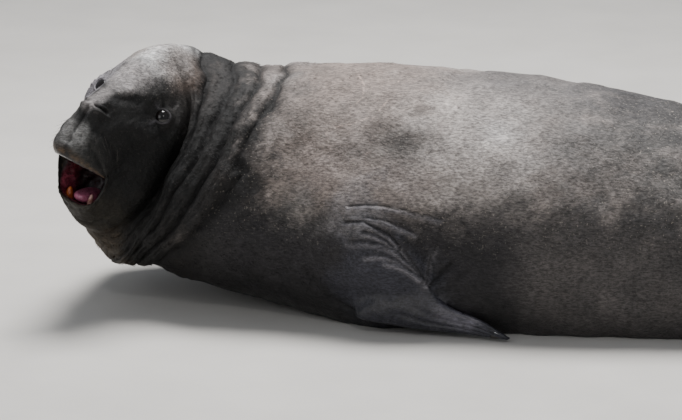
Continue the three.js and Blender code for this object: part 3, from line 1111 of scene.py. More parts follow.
class Paint(Nodes):
    """Builds one node material."""

    def __init__(self, name: str, **shader: float | tuple) -> None:
        """Makes the material with its shader's own values."""
        self.material = bpy.data.materials.new(name)
        self.material.use_nodes = True
        self.tree = self.material.node_tree
        self.tree.nodes.clear()
        own = {socket.replace("_", " "): value for socket, value in shader.items()}
        self.shader = self.add("ShaderNodeBsdfPrincipled", own)
        self.add("ShaderNodeOutputMaterial", {"Surface": self.shader})
        self.coords = self.add("ShaderNodeTexCoord").outputs["Object"]

    def noise(self, scale: float, detail: float = 3.0, rough: float = 0.55, warp: float = 0.0,
              stretch: Triple | None = None) -> Node:
        """Noise of about 0 to 1 on the object's coordinates.

        Args:
            scale: How fine it is.
            detail: How many finer layers it has.
            rough: How strong those are.
            warp: How far it is bent.
            stretch: Its scale along each axis, if that isn't the same.

        Returns:
            The pattern.
        """
        coords = self.coords
        if stretch:
            coords = self.add("ShaderNodeMapping", {"Vector": coords, "Scale": stretch})
        return self.add("ShaderNodeTexNoise", {
            "Vector": coords, "Scale": scale, "Detail": detail, "Roughness": rough, "Distortion": warp,
        })

    def cells(self, scale: float) -> Node:
        """The distance to the nearest of scattered points."""
        return self.add("ShaderNodeTexVoronoi", {"Vector": self.coords, "Scale": scale})

    def kept(self, name: str, colour: bool = False) -> Socket:
        """A value or colour that the mesh keeps for each point."""
        return self.add("ShaderNodeAttribute", attribute_name=name).outputs["Color" if colour else "Fac"]

    def span(self, value: object, low: float, high: float, start: float = 0.0,
             end: float = 1.0) -> Node:
        """A value's range spread over another range, and held there."""
        return self.add("ShaderNodeMapRange", {
            "Value": value, "From Min": low, "From Max": high, "To Min": start, "To Max": end,
        })

    def mix(self, a: object, b: object, share: object, way: str = "MIX") -> Node:
        """A mix of two colours."""
        a, b = ((*colour, 1.0) if isinstance(colour, tuple) else colour for colour in (a, b))
        return self.add("ShaderNodeMix", {"Factor": share, "A": a, "B": b}, data_type="RGBA", blend_type=way)

    def stroke(self, start: Array, end: Array, radius: float) -> Node:
        """A thin straight line between two points: 1 on it, 0 beyond its radius."""
        along = end - start
        away = self.vector("SUBTRACT", self.coords, tuple(start))
        share = self.span(self.vector("DOT_PRODUCT", away, tuple(along / along.dot(along))), 0, 1)
        gap = self.vector("DISTANCE", away, self.vector("SCALE", tuple(along), share))
        return self.span(gap, radius * 0.5, radius * 1.3, 1.0, 0.0)

    def bump(self, height: object, distance: float, strength: float = 1.0,
             under: Node | None = None) -> Node:
        """A normal bent by a height given from 0 to 1."""
        return self.add("ShaderNodeBump", {
            "Distance": distance, "Strength": strength, "Height": height, "Normal": under,
        })

    def done(self, **outputs: object) -> bpy.types.Material:
        """Links the finished patterns to the shader."""
        for socket, value in outputs.items():
            self.feed(self.shader.inputs[socket.replace("_", " ")], value)
        return self.material


@dataclass(frozen=True)
class Hide:
    """The skin's finish, which the short coat shares."""

    name: str = "hide"
    hair: bool = False
    scars: tuple[Array, ...] = ()
    scar_radius: float = 0.0034

    def material(self) -> bpy.types.Material:
        """The seal's colours with mottling, hair grain, pores and damp."""
        paint = Paint(self.name, Specular_IOR_Level=0.32, Coat_Roughness=0.14, Coat_IOR=1.4)
        tint = paint.kept("tint", colour=True)
        wet = paint.kept("wet")
        broad = paint.span(paint.noise(7, 5, 0.6), 0.3, 0.7, 0.78, 1.2)
        middle = paint.span(paint.noise(40, 4, 0.65, 0.6), 0.3, 0.7, 0.76, 1.24)
        grain = paint.span(paint.noise(210, 3, 0.7, 0.3, (0.34, 1, 1)), 0.38, 0.62, 0.56, 1.45)
        shade = paint.number("MULTIPLY", paint.number("MULTIPLY", broad, middle), grain)
        colour = paint.mix(tint, shade, 1.0, "MULTIPLY")
        flecks = paint.span(paint.noise(150, 2, 0.5), 0.64, 0.71)
        flecks = paint.number("MULTIPLY", flecks, paint.kept("fleck"))
        colour = paint.mix(colour, tone(188, 178, 166), flecks)
        marks = None
        for line in self.scars:
            for start, end in zip(line[:-1], line[1:]):
                stroke = paint.stroke(start, end, self.scar_radius)
                marks = stroke if marks is None else paint.number("MAXIMUM", marks, stroke)
        if marks is not None:
            broken = paint.number("MULTIPLY", marks, paint.span(paint.noise(60, 3), 0.38, 0.6, 0.0, 0.45))
            colour = paint.mix(colour, (2.6, 2.4, 2.3), broken, "MULTIPLY")
        if self.hair:
            tip = paint.span(paint.kept("tip"), 0.2, 1.0, 0.0, 0.6)
            colour = paint.mix(colour, (1.8, 1.74, 1.68), tip, "MULTIPLY")
            return paint.done(Base_Color=colour, Roughness=paint.span(wet, 0, 1, 0.62, 0.34))
        patchy = paint.number("MULTIPLY", wet, paint.span(paint.noise(24, 3), 0.25, 0.6, 0.55, 1.0))
        rough = paint.span(patchy, 0, 1, 0.68, 0.24)
        pores = paint.span(paint.cells(210), 0.0, 0.5)
        under = paint.bump(paint.noise(60, 4, 0.6), 0.009, 0.6)
        under = paint.bump(pores, 0.0016, 0.35, under)
        final = paint.bump(paint.noise(420, 3, 0.7), 0.0024, 0.7, under)
        return paint.done(Base_Color=colour, Roughness=rough, Normal=final,
                          Coat_Weight=paint.span(patchy, 0.35, 1.0, 0.0, 0.55))


@dataclass(frozen=True)
class Gloss:
    """A wet, smooth finish for eyes, teeth and tongue."""

    name: str
    base: Triple
    other: Triple
    scale: float
    rough: float
    relief: float
    coat: float = 0.6

    def material(self) -> bpy.types.Material:
        """Two colours mottled together under a wet coat."""
        paint = Paint(self.name, Specular_IOR_Level=0.5, Coat_Weight=self.coat, Coat_Roughness=0.08)
        pattern = paint.noise(self.scale, 4, 0.6, 0.4)
        colour = paint.mix(self.base, self.other, paint.span(pattern, 0.35, 0.65))
        rough = paint.span(paint.noise(self.scale * 3, 2), 0.3, 0.7, self.rough * 0.8, self.rough * 1.3)
        return paint.done(Base_Color=colour, Roughness=rough,
                          Normal=paint.bump(pattern, self.relief, 0.6))


@dataclass(frozen=True)
class Region:
    """A patch of colour on the skin: a middle, three reaches in a frame, and a colour."""

    at: Triple
    reach: Triple
    colour: Triple
    share: float = 1.0
    soft: float = 0.45
    axes: Axes = HEAD
    both: bool = True

    def weight(self, points: Array, wobble: Array) -> Array:
        """How strongly the patch colours each point."""
        local = self.axes.local(points)
        best = np.zeros(len(points))
        for side in SIDES if self.both else (1,):
            q = np.linalg.norm((local - np.array(self.at) * (1, side, 1)) / self.reach, axis=1)
            best = np.maximum(best, 1 - smooth(1 - self.soft, 1 + self.soft, q + wobble * 0.22))
        return best * self.share


class Surface:
    """The skin while it is marked: its points, what they keep, and what is carved and laid on them."""

    def __init__(self, mesh: Mesh) -> None:
        """Reads the skin and starts from one plain colour."""
        self.mesh = mesh
        self.points = positions(mesh)
        self.folded = fold(self.points)
        self.tree = BVHTree.FromPolygons(self.points.tolist(), [tuple(p.vertices) for p in mesh.polygons])
        self.place, self.angle, self.fin = (read(mesh, name) for name in ("place", "angle", "fin"))
        # marks gathers the painted shade of creases and lines; lit, the painted highlight on the creases'
        # lower lips.
        self.lift, self.marks, self.lit = (np.zeros(len(self.points)) for _ in range(3))
        self.tint = np.tile(np.array(tone(138, 129, 124)), (len(self.points), 1))
        self.wobble = Waves(21, 120).at(self.points) + 0.5 * Waves(22, 40).at(self.points)
        self.wobble += 0.45 * Waves(23, 17).at(self.points)
        self.inside = smooth(22.2, 22.9, self.place) * (1 - self.fin)

    def reach(self, trace: Trace, right: float = 0.0, down: float = 0.0) -> list[Array]:
        """Each point's distances to a line of the picture, moved a little, and to its mirror image."""
        line = self.on_skin(tuple((u + right, v + down) for u, v in trace.points))
        return [trace.distance(self.points * (1, side, 1), line) for side in SIDES]

    def on_skin(self, line: tuple) -> Array:
        """A line of the picture, as points on the skin."""
        start = Vector(CAMERA.position())
        found = []
        for (u0, v0), (u1, v1) in zip(line[:-1], line[1:]):
            for t in (0.0, 0.25, 0.5, 0.75, 1.0):
                ray = CAMERA.ray(u0 + (u1 - u0) * t, v0 + (v1 - v0) * t)
                hit = self.tree.ray_cast(start, Vector(ray))[0]
                if hit is not None:
                    found.append(hit)
        return np.array(found)

    def lay(self, colour: Triple, share: Array) -> None:
        """Lays one colour over the rest."""
        self.tint += (np.array(colour) - self.tint) * np.clip(share, 0, 1)[:, None]

    def lay_spots(self, spots: list[tuple], rough: float) -> None:
        """Lays soft round patches.

        Args:
            spots: For each, a point of the picture, a radius, a colour and its share.
            rough: How uneven their edges are.
        """
        for (u, v), radius, colour, share in spots:
            at = self.on_skin(((u, v), (u + 1, v)))[0] * (1, -1, 1)
            away = np.linalg.norm(self.folded - at, axis=1) * (1 + rough * self.wobble)
            self.lay(colour, share * bell(away, radius))


@dataclass
class Markings:
    """The skin's colours with their painted shade and highlights, creases, scars and damp places."""

    folds: Folds = Folds()
    cuts: tuple[Array, ...] = ()
    lit_creases: int = 8
    lip_shift: Pair = (-0.8, 3.4)
    lip_radius: float = 8.0
    lip_height: float = 6.5
    lip_light: float = 0.55

    def creases(self) -> list[Trace]:
        """Shoulder and flank creases, as points of the photograph's picture; each is cut in and darkened as
        painted shade.
        """
        return [
            Trace(((349, 206), (366, 204.5), (384, 206), (401, 209), (416, 213), (440, 219)), 4, -5, 0.6),
            Trace(((345, 222), (363, 221), (377, 228), (390, 235), (403, 249), (413, 262), (424, 279)),
                  4.5, -7, 0.8),
            Trace(((367, 217), (380, 219), (392, 223), (407, 229), (416, 233)), 3.5, -4, 0.45),
            Trace(((362, 231), (374, 233), (386, 240), (398, 250), (408, 262)), 4, -5, 0.6),
            Trace(((348, 241), (370, 241), (384, 244), (397, 251), (410, 263), (420, 276)), 4, -5, 0.6),
            Trace(((367, 254), (382, 254), (395, 258), (408, 267), (418, 276)), 4, -4, 0.6),
            Trace(((386, 261), (399, 264), (410, 270), (419, 277)), 3.5, -4, 0.5),
            Trace(((426, 283), (429, 268), (432, 256), (437, 247)), 5, -7, 0.9),
            Trace(((429, 286), (437, 278), (445, 270), (451, 263)), 5, -6, 0.9),
            Trace(((437, 293), (448, 287), (457, 280), (468, 272)), 5, -5, 0.7),
            Trace(((304, 269), (313, 282), (325, 294), (340, 305), (353, 313)), 8, -8, 0.7),
            Trace(((303, 283), (314, 293), (330, 304)), 5, -4, 0.5),
        ]

    def face_lines(self) -> list[Trace]:
        """Nostril, lid and lip lines of the head, as points of the picture, alike on both sides; where they
        are darkened, that is painted shade.
        """
        return [
            Trace(((96, 104.4), (99, 106), (103, 109), (107.5, 112.6)), 6, -12, 1.0),
            Trace(((98, 102), (104, 104.5), (110, 108)), 9, -5, 0.85),
            Trace(((97, 110.5), (101, 112.5), (105, 115), (109, 118)), 6, 3.5),
            Trace(((104, 100), (113, 98), (125, 98.5), (138, 102)), 15, -4, 0.55),
            Trace(((151, 112), (156, 107.6), (163, 106), (170, 108.4), (174, 113.6)), 3, -2.0, 0.6),
            Trace(((149, 108), (156, 103), (164, 101.4), (172, 103.6), (177.5, 109)), 3.5, -2.2, 0.45),
            Trace(((154, 118), (149, 115), (145, 112.5)), 8, -2, 0.9),
            Trace(((96, 131), (104, 136), (112, 146), (117, 158)), 8, -4, 0.3),
            Trace(((112, 184), (119, 178), (128, 175)), 7, -6, 0.6),
            Trace(((105, 180), (113, 172), (123, 166)), 8, -5, 0.4),
            Trace(((70, 214), (80, 221), (92, 224), (104, 220)), 7, -4, 0.4),
            Trace(((84, 232), (98, 236), (112, 232), (124, 222)), 7, -5, 0.4),
            Trace(((92, 243), (108, 247), (124, 242), (138, 230)), 7, -5, 0.45),
            Trace(((111, 71), (113, 79), (112, 85)), 4, -2, 0.4),
            Trace(((117, 68), (119, 76), (118, 84)), 4, -2, 0.4),
            Trace(((176, 96), (183, 106), (186, 120), (183, 136)), 7, -4, 0.4),
        ]

    def blotches(self) -> list[tuple]:
        """Larger patches on the flank, neck and limb, partly the hide's own mottling and partly painted
        highlight and shade: a point of the picture, a radius, a colour and its share.
        """
        return [
            ((400, 145), 80, tone(50, 47, 45), 0.9),
            ((352, 152), 66, tone(88, 82, 80), 0.6),
            ((300, 120), 76, tone(82, 75, 71), 0.7),
            ((352, 192), 60, tone(158, 150, 148), 0.6),
            ((404, 184), 66, tone(152, 142, 138), 0.6),
            # pale: painted highlight where the mid flank takes the light
            ((500, 132), 60, tone(196, 192, 190), 0.5),
            ((350, 108), 60, tone(84, 78, 75), 0.5),
            # darker neck and nape: partly their own colour and partly painted shade
            ((240, 130), 48, tone(22, 21, 20), 0.8),
            ((230, 80), 44, tone(34, 32, 31), 0.7),
            ((504, 84), 72, tone(88, 85, 85), 0.6),
            ((504, 172), 50, tone(92, 88, 86), 0.5),
            ((566, 150), 100, tone(80, 78, 77), 0.62),
            ((640, 104), 170, tone(58, 56, 58), 0.66),
            ((282, 82), 40, tone(160, 152, 148), 0.7),
            ((318, 176), 70, tone(134, 122, 118), 0.5),
            # pale: painted highlight on the limb's wet top
            ((360, 218), 62, tone(128, 126, 129), 0.75),
            ((300, 205), 60, tone(112, 110, 108), 0.5),
        ]

    def hollows(self) -> list[Trace]:
        """Broad hollows behind and before the limb, and its raised edge, as points of the picture."""
        return [
            Trace(((424, 226), (429, 248), (433, 270)), 34, -15),
            Trace(((452, 238), (455, 262)), 40, -8),
            Trace(((300, 250), (322, 280), (348, 306)), 30, -9),
            Trace(((378, 212), (398, 236), (414, 262), (430, 290)), 20, 9),
            Trace(((360, 262), (372, 284), (388, 304)), 40, 9),
        ]

    def scars(self) -> list[tuple]:
        """Thin pale scars and two small wounds, as points of the photograph's picture."""
        return [
            ((358, 74), (364, 85), (363, 97), (348, 110)),
            ((399, 81), (387, 101), (371, 121)),
            ((368, 118), (352, 124), (335, 127)),
            ((370, 152), (358, 158), (344, 163)),
            ((281, 107), (272, 114), (260, 121)),
            ((260, 211), (248, 219), (234, 226)),
            ((262, 190), (250, 200), (240, 206)),
            ((326, 132), (330, 146), (329, 158)),
            ((603, 121), (605, 123)),
            ((612, 125), (614, 128)),
        ]

    def regions(self) -> list[Region]:
        """The patches of colour, laid over one another in turn; several carry painted shade and painted
        highlight.
        """
        ground = {"axes": GROUND}
        return [
            Region((-1150, 0, 420), (800, 460, 420), tone(82, 80, 78), 0.92, **ground),
            Region((-480, 60, 705), (400, 300, 80), tone(104, 100, 99), 0.6, **ground),
            Region((-250, 300, 540), (330, 260, 190), tone(168, 160, 155), 0.8, **ground),
            Region((60, 330, 400), (260, 220, 170), tone(140, 127, 119), 0.85, **ground),
            Region((110, 60, 640), (300, 330, 150), tone(128, 114, 106), 0.7, **ground),
            # Near black on the neck's side, partly its own colour and partly painted shade; lower, under the
            # head, painted shade.
            Region((440, 260, 330), (170, 340, 290), tone(24, 20, 18), 1.0, **ground),
            Region((600, 240, 120), (260, 300, 190), tone(13, 11, 10), 0.95, **ground),
            Region((330, 40, 640), (150, 240, 100), tone(116, 108, 104), 0.75, **ground),
            Region((500, 130, 600), (120, 300, 200), tone(42, 38, 36), 0.9, **ground),
            # The face darkened, partly its own dark colour and partly painted shade; the lower cheek near
            # black as painted shade.
            Region((-60, 0, -60), (360, 330, 420), tone(30, 28, 27), 0.97),
            Region((30, 0, -80), (330, 330, 420), tone(25, 24, 23), 1.0),
            Region((60, 160, -150), (150, 110, 130), tone(9, 9, 9), 0.85),
            Region((-130, 120, 60), (120, 90, 110), tone(56, 52, 50), 0.7),
            # Pale crown and top of the snout: partly the hide's own pale colour and partly painted highlight
            # where the top takes the light.
            Region((-80, 0, 182), (130, 104, 84), tone(232, 230, 228), 0.97, 0.5),
            Region((50, 4, 104), (100, 76, 46), tone(156, 150, 148), 0.8, 0.5),
            Region((-120, 60, 120), (70, 90, 70), tone(104, 90, 82), 0.75, 0.6),
            Region((196, 0, 44), (84, 28, 38), tone(136, 130, 128), 0.8),
            # Pale patches on the far side of the head only: painted highlight on the side that takes the
            # light; the near-black patch in front of the near eye is painted shade.
            Region((70, -112, 30), (150, 70, 70), tone(140, 136, 138), 0.9, both=False),
            Region((244, -60, -90), (60, 50, 70), tone(110, 106, 104), 0.7, both=False),
            Region((58, 112, -22), (34, 24, 20), tone(12, 11, 11), 0.85, both=False),
            Region((0, -150, -30), (110, 60, 70), tone(132, 128, 132), 0.85, both=False),
            Region((274, 30, -58), (30, 26, 38), tone(158, 156, 153), 0.8, 0.6),
            Region((254, 62, -90), (60, 50, 50), tone(36, 36, 35), 0.6, 0.5),
            Region((110, 0, -340), (130, 120, 90), tone(40, 36, 29), 0.9),
            Region((-60, 0, -480), (150, 150, 110), tone(72, 62, 50), 0.8),
            Region((118, 62, 74), (20, 12, 14), tone(150, 92, 80), 0.4, 0.6, both=False),
        ]

    def glints(self) -> list[tuple]:
        """Painted highlights: pale patches along the near limb's lower edge, where the wet skin catches the
        light, as the blotches are given.
        """
        pale = tone(104, 101, 110)
        return [((440, 314), 26, pale, 0.6), ((456, 319), 24, pale, 0.5), ((472, 323), 26, pale, 0.7)]

    def apply(self, skin: Object) -> None:
        """Cuts the creases, lays the colours with painted shade in the grooves and creases, then keeps tint,
        damp and flecks for the finish.

        Args:
            skin: The joined skin, which keeps place, angle and fin.
        """
        surface = Surface(skin.data)
        self.carve_body(surface)
        self.carve_head(surface)
        move_points(skin.data, surface.points + normals(skin.data) * surface.lift[:, None])
        stray = surface.place + self.folds.wander(surface.points)
        groove = np.clip(self.folds.groove(stray, surface.angle) * 1.9 + surface.marks, 0, 1)
        self.colour_body(surface)
        # Painted shade: the neck folds' grooves and the creases laid near black.
        surface.lay(tone(14, 12, 12), groove * 0.95 * (1 - surface.inside))
        self.colour_head(surface)
        self.keep(surface, groove)

    def carve_body(self, surface: Surface) -> None:
        """Cuts the body's creases with their lit lower lips, and the hollows by the limb, and keeps the
        creases' painted shade.

        Args:
            surface: The skin, whose lift, marks and lit are changed.
        """
        for trace in self.creases():
            for distance in surface.reach(trace):
                surface.lift += trace.height * bell(distance, trace.radius)
                # painted shade: how dark the crease is laid
                np.maximum(surface.marks, trace.mark * bell(distance, trace.radius * 0.9), out=surface.marks)
        self.cuts = tuple(surface.on_skin(line)[[*range(0, 5 * len(line) - 9, 5), -1]] * MM + SHIFT
                          for line in self.scars())
        for trace in self.creases()[:self.lit_creases]:
            for distance in surface.reach(trace, *self.lip_shift):
                near = bell(distance, self.lip_radius)
                surface.lift += self.lip_height * near
                np.maximum(surface.lit, self.lip_light * near, out=surface.lit)
        for trace in self.hollows():
            for distance in surface.reach(trace):
                surface.lift += trace.height * bell(distance, trace.radius)

    def carve_head(self, surface: Surface) -> None:
        """Cuts the head's lines on both sides, most of them only faintly on the far one, and keeps the
        painted shade that darkens them.

        Args:
            surface: The skin, whose lift and marks are changed.
        """
        local = HEAD.local(surface.points)
        far = 0.15 + 0.85 * (local[:, 1] > 0)
        local = fold(local)
        own = smooth(14.6, 15.4, surface.place) * smooth(22.6, 22.2, surface.place)
        for trace in self.face_lines():
            distance = trace.distance(local, HEAD.local(surface.on_skin(trace.points)))
            surface.lift += trace.height * own * (0.3 + 0.7 * far) * bell(distance, trace.radius)
            # painted shade along the line, full on the near side and faint on the far one
            mark = trace.mark * own * far * bell(distance, trace.radius * 0.9)
            np.maximum(surface.marks, mark, out=surface.marks)
        for trace in Relief().traces():
            distance = trace.distance(local, np.array(trace.points, float))
            # painted shade in the head's own grooves
            mark = trace.mark * own * bell(distance, trace.radius * 0.8)
            np.maximum(surface.marks, mark, out=surface.marks)

    def colour_body(self, surface: Surface) -> None:
        """Lays the neck's base, darker on its sides than on top, the regions, the body darker towards the
        floor (partly painted shade), the blotches, the limbs, and the painted highlights on the creases'
        lower lips and along the near limb's edge.

        Args:
            surface: The skin, whose tint is changed.
        """
        points, wobble, lay = surface.points, surface.wobble, surface.lay
        # The neck's base darkened, more on its sides than on its top: partly its own colour and partly
        # painted shade.
        side = smooth(0.8, 0.25, np.cos(surface.angle) + 0.12 * wobble)
        lay(tone(40, 36, 34), smooth(11.2, 12.6, surface.place + 0.3 * wobble) * (0.35 + 0.6 * side))
        for region in self.regions():
            lay(region.colour, region.weight(points, wobble))
        # The body darker towards the floor in three steps: partly the wet hide's own colour and partly
        # painted shade.
        behind = smooth(-560, -340, points[:, 0])
        height = points[:, 2] + 34 * wobble
        lay(tone(60, 58, 58), smooth(475, 330, height) * behind * 0.8)
        rear = smooth(380, 560, points[:, 0])
        lay(tone(38, 36, 38), smooth(420, 290, height) * behind * (1 - 0.8 * rear))
        rear = smooth(380, 600, points[:, 0])
        lay(tone(27, 26, 26), smooth(190, 60, height) * behind * (0.8 - 0.5 * rear))
        surface.lay_spots(self.blotches(), 0.25)
        away = np.linalg.norm((surface.folded - (60, 430, 160)) / (150, 200, 150), axis=1)
        limb = 1 - smooth(0.6, 1.35, away + 0.2 * wobble)
        lay(tone(50, 50, 57), np.maximum(spread(surface.mesh, surface.fin, 22), limb) * 0.9)
        lay(tone(118, 115, 119), surface.lit)
        # Painted highlights along the near limb's lower edge.
        surface.lay_spots(self.glints(), 0.3)

    def colour_head(self, surface: Surface) -> None:
        """Lays the lids' rims, the lip line and the inside of the mouth, with painted shade under its roof
        and at its deep end.

        Args:
            surface: The skin, whose tint is changed.
        """
        place, lay, skin = surface.place, surface.lay, 1 - surface.fin
        rim = np.zeros(len(place))
        for eye in EYES:
            away = surface.points - eye.centre()
            a, b, out = (away @ eye.axes().T).T
            reach = np.linalg.norm(away, axis=1)
            q = np.hypot(a / eye.half_width, b / eye.half_height) * (eye.radius + 3) / reach
            near = (out > 0) & (reach < 60)
            rim = np.maximum(rim, near * bell(q - 1.1, 0.1))
        lay(tone(72, 69, 72), rim * 0.8)
        floor = smooth(0.1, -0.5, np.cos(surface.angle))
        rim = bell(place - 21.97, 0.13) * skin * np.clip(0.55 + 0.5 * Waves(24, 20).at(surface.points), 0, 1)
        lay(tone(104, 82, 60), rim * (1 - floor) * 0.8)
        lay(tone(96, 88, 74), rim * floor * 0.7)
        lay(tone(24, 16, 16), surface.inside)
        # Pink floor, darker red roof and a near-black deep end: the roof partly its own colour and partly
        # painted shade, the deep end painted shade.
        lay(tone(150, 66, 84), smooth(22.7, 23.3, place) * skin * floor)
        lay(tone(80, 20, 28), smooth(23.2, 24.2, place) * skin * (1 - floor))
        lay(tone(34, 9, 13), smooth(24.0, 25.0, place) * skin)

    def keep(self, surface: Surface, groove: Array) -> None:
        """Stores the tint, and how wet, creased and flecked each point is.

        Args:
            surface: The marked skin.
            groove: How deep in a crease each point lies, 0 to 1.
        """
        mesh, points, place = surface.mesh, surface.points, surface.place
        store(mesh, "tint", np.hstack([surface.tint, np.ones((len(points), 1))]))
        low = smooth(150, 30, points[:, 2])
        muzzle = smooth(19.5, 21.5, place)
        wet = 0.9 * spread(mesh, surface.fin, 14) + surface.inside + 0.75 * low + 0.35 * muzzle
        store(mesh, "wet", np.clip(wet, 0, 1))
        store(mesh, "groove", groove)
        top = smooth(14.5, 15.6, place) * smooth(20.5, 18.5, place)
        top *= smooth(20, 90, HEAD.local(points)[:, 2])
        fleck = 0.3 * smooth(12, 10, place) + 0.4 * smooth(600, 1200, points[:, 0]) + 0.4 * top + 0.06
        skin = (1 - surface.inside) * (1 - surface.fin)
        store(mesh, "fleck", skin * fleck * smooth(180, 420, points[:, 2]))


class Growth(Nodes):
    """A Geometry Nodes tree that stands tapered blades on a skin, lying along its coat."""

    SIZES = (("Density", 9000.0), ("Length", 0.012), ("Width", 0.0014), ("Lift", 0.2), ("Stray", 0.2),
             ("Curl", 0.25), ("Sunk", 0.001))
    PASSING = ("lie", "chart", "patch", "growth", "size", "place", "angle", "fin", "groove", "out")

    def __init__(self, name: str, scattered: bool, corners: int, joints: int,
                 material: bpy.types.Material) -> None:
        """Builds the tree: blade, roots, turning, scale, and a patch of the map for each blade.

        Args:
            name: The tree's name.
            scattered: Whether the roots are scattered over faces, or stand at given points.
            corners: Corners of a blade's outline.
            joints: Lengths of a blade.
            material: The blades' finish.
        """
        self.tree = bpy.data.node_groups.new(name, "GeometryNodeTree")
        face = self.tree.interface
        face.new_socket("Geometry", in_out="INPUT", socket_type="NodeSocketGeometry")
        for label, value in self.SIZES:
            socket = face.new_socket(label, in_out="INPUT", socket_type="NodeSocketFloat")
            socket.default_value = value
        seed = face.new_socket("Seed", in_out="INPUT", socket_type="NodeSocketInt")
        seed.default_value = 1
        face.new_socket("Geometry", in_out="OUTPUT", socket_type="NodeSocketGeometry")
        self.source = self.tree.nodes.new("NodeGroupInput")
        self.build(scattered, corners, joints, material)

    def named(self, name: str, kind: str) -> Node:
        """A value that the mesh keeps."""
        return self.add("GeometryNodeInputNamedAttribute", {"Name": name}, data_type=kind)

    def blade(self, corners: int, joints: int) -> Node:
        """A tapered, curled blade that keeps its height and its place in the map's patch.

        Args:
            corners: Corners of its outline.
            joints: Its lengths.

        Returns:
            The node that gives its mesh.
        """
        cone = self.add("GeometryNodeMeshCone", {
            "Vertices": corners, "Side Segments": joints,
            "Radius Top": 0.0, "Radius Bottom": 1.0, "Depth": 1.0,
        })
        here = self.add("GeometryNodeInputPosition")
        parts = self.add("ShaderNodeSeparateXYZ", {"Vector": here})
        x, y, z = (parts.outputs[k] for k in range(3))
        bend = self.number("MULTIPLY", self.number("MULTIPLY", z, z), self.source.outputs["Curl"])
        flat = self.number("ADD", self.number("MULTIPLY", y, 0.4), self.number("MULTIPLY", bend, 3.0))
        placed = self.add("ShaderNodeCombineXYZ", {"X": x, "Y": flat, "Z": z})
        patch = self.add("ShaderNodeCombineXYZ", {
            "X": self.number("MULTIPLY", x, 0.0014),
            "Y": self.number("MULTIPLY", self.number("SUBTRACT", z, 0.5), 0.0028),
        })
        kept = self.add("GeometryNodeStoreNamedAttribute",
                        {"Geometry": cone.outputs["Mesh"], "Name": "patch", "Value": patch},
                        data_type="FLOAT_VECTOR", domain="POINT")
        kept = self.add("GeometryNodeStoreNamedAttribute", {"Geometry": kept, "Name": "tip", "Value": z},
                        data_type="FLOAT", domain="POINT")
        return self.add("GeometryNodeSetPosition", {"Geometry": kept, "Position": placed})

    def roots(self, scattered: bool) -> tuple[object, object]:
        """The blades' roots and their normals, scattered over faces or at given points."""
        size = self.source.outputs
        if not scattered:
            roots = self.add("GeometryNodeMeshToPoints", {"Mesh": size["Geometry"]})
            return roots.outputs[0], self.named("out", "FLOAT_VECTOR").outputs[0]
        thick = self.number("MULTIPLY", self.named("growth", "FLOAT"), size["Density"])
        roots = self.add("GeometryNodeDistributePointsOnFaces", {
            "Mesh": size["Geometry"], "Density": thick, "Seed": size["Seed"],
        }, distribute_method="RANDOM")
        return roots.outputs["Points"], roots.outputs["Normal"]

    def turning(self, normal: object) -> Node:
        """How each blade is turned: along its lie, lifted and led astray a little."""
        size = self.source.outputs
        stray = self.add("FunctionNodeRandomValue", {
            "Min": (-1.0, -1.0, -1.0), "Max": (1.0, 1.0, 1.0), "Seed": size["Seed"],
        }, data_type="FLOAT_VECTOR")
        raised = self.vector("SCALE", normal, size["Lift"])
        way = self.vector("ADD", self.named("lie", "FLOAT_VECTOR"), raised)
        way = self.vector("ADD", way, self.vector("SCALE", stray, size["Stray"]))
        turn = self.add("FunctionNodeAlignRotationToVector", {"Vector": way}, axis="Z")
        return self.add("FunctionNodeAlignRotationToVector", {"Rotation": turn, "Vector": normal}, axis="Y",
                        pivot_axis="Z")

    def scaling(self) -> Node:
        """How large each blade is."""
        size = self.source.outputs
        vary = self.add("FunctionNodeRandomValue", {
            "Min": 0.7, "Max": 1.25, "Seed": self.number("ADD", size["Seed"], 7),
        }, data_type="FLOAT")
        grown = self.number("MULTIPLY", self.named("size", "FLOAT"), vary)
        wide = self.number("MULTIPLY", grown, size["Width"])
        return self.add("ShaderNodeCombineXYZ", {
            "X": wide, "Y": wide, "Z": self.number("MULTIPLY", grown, size["Length"]),
        })

    def build(self, scattered: bool, corners: int, joints: int, material: bpy.types.Material) -> None:
        """Joins roots and blades, and gives them their map and finish.

        Args:
            scattered: Whether the roots are scattered over faces.
            corners: Corners of a blade's outline.
            joints: Lengths of a blade.
            material: The blades' finish.
        """
        points, normal = self.roots(scattered)
        sunk = self.vector("SCALE", normal, self.number("MULTIPLY", self.source.outputs["Sunk"], -1.0))
        rooted = self.add("GeometryNodeSetPosition", {"Geometry": points, "Offset": sunk})
        stood = self.add("GeometryNodeInstanceOnPoints", {
            "Points": rooted, "Instance": self.blade(corners, joints), "Rotation": self.turning(normal),
            "Scale": self.scaling(),
        })
        real = self.add("GeometryNodeRealizeInstances", {"Geometry": stood})
        spot = self.vector("ADD", self.named("chart", "FLOAT_VECTOR"), self.named("patch", "FLOAT_VECTOR"))
        mapped = self.add("GeometryNodeStoreNamedAttribute",
                          {"Geometry": real, "Name": "OFBake", "Value": spot},
                          data_type="FLOAT2", domain="CORNER")
        smooth_faces = self.add("GeometryNodeSetShadeSmooth", {"Geometry": mapped})
        dressed = self.add("GeometryNodeSetMaterial", {"Geometry": smooth_faces, "Material": material})
        output = self.tree.nodes.new("NodeGroupOutput")
        self.tree.links.new(dressed.outputs[0], output.inputs[0])

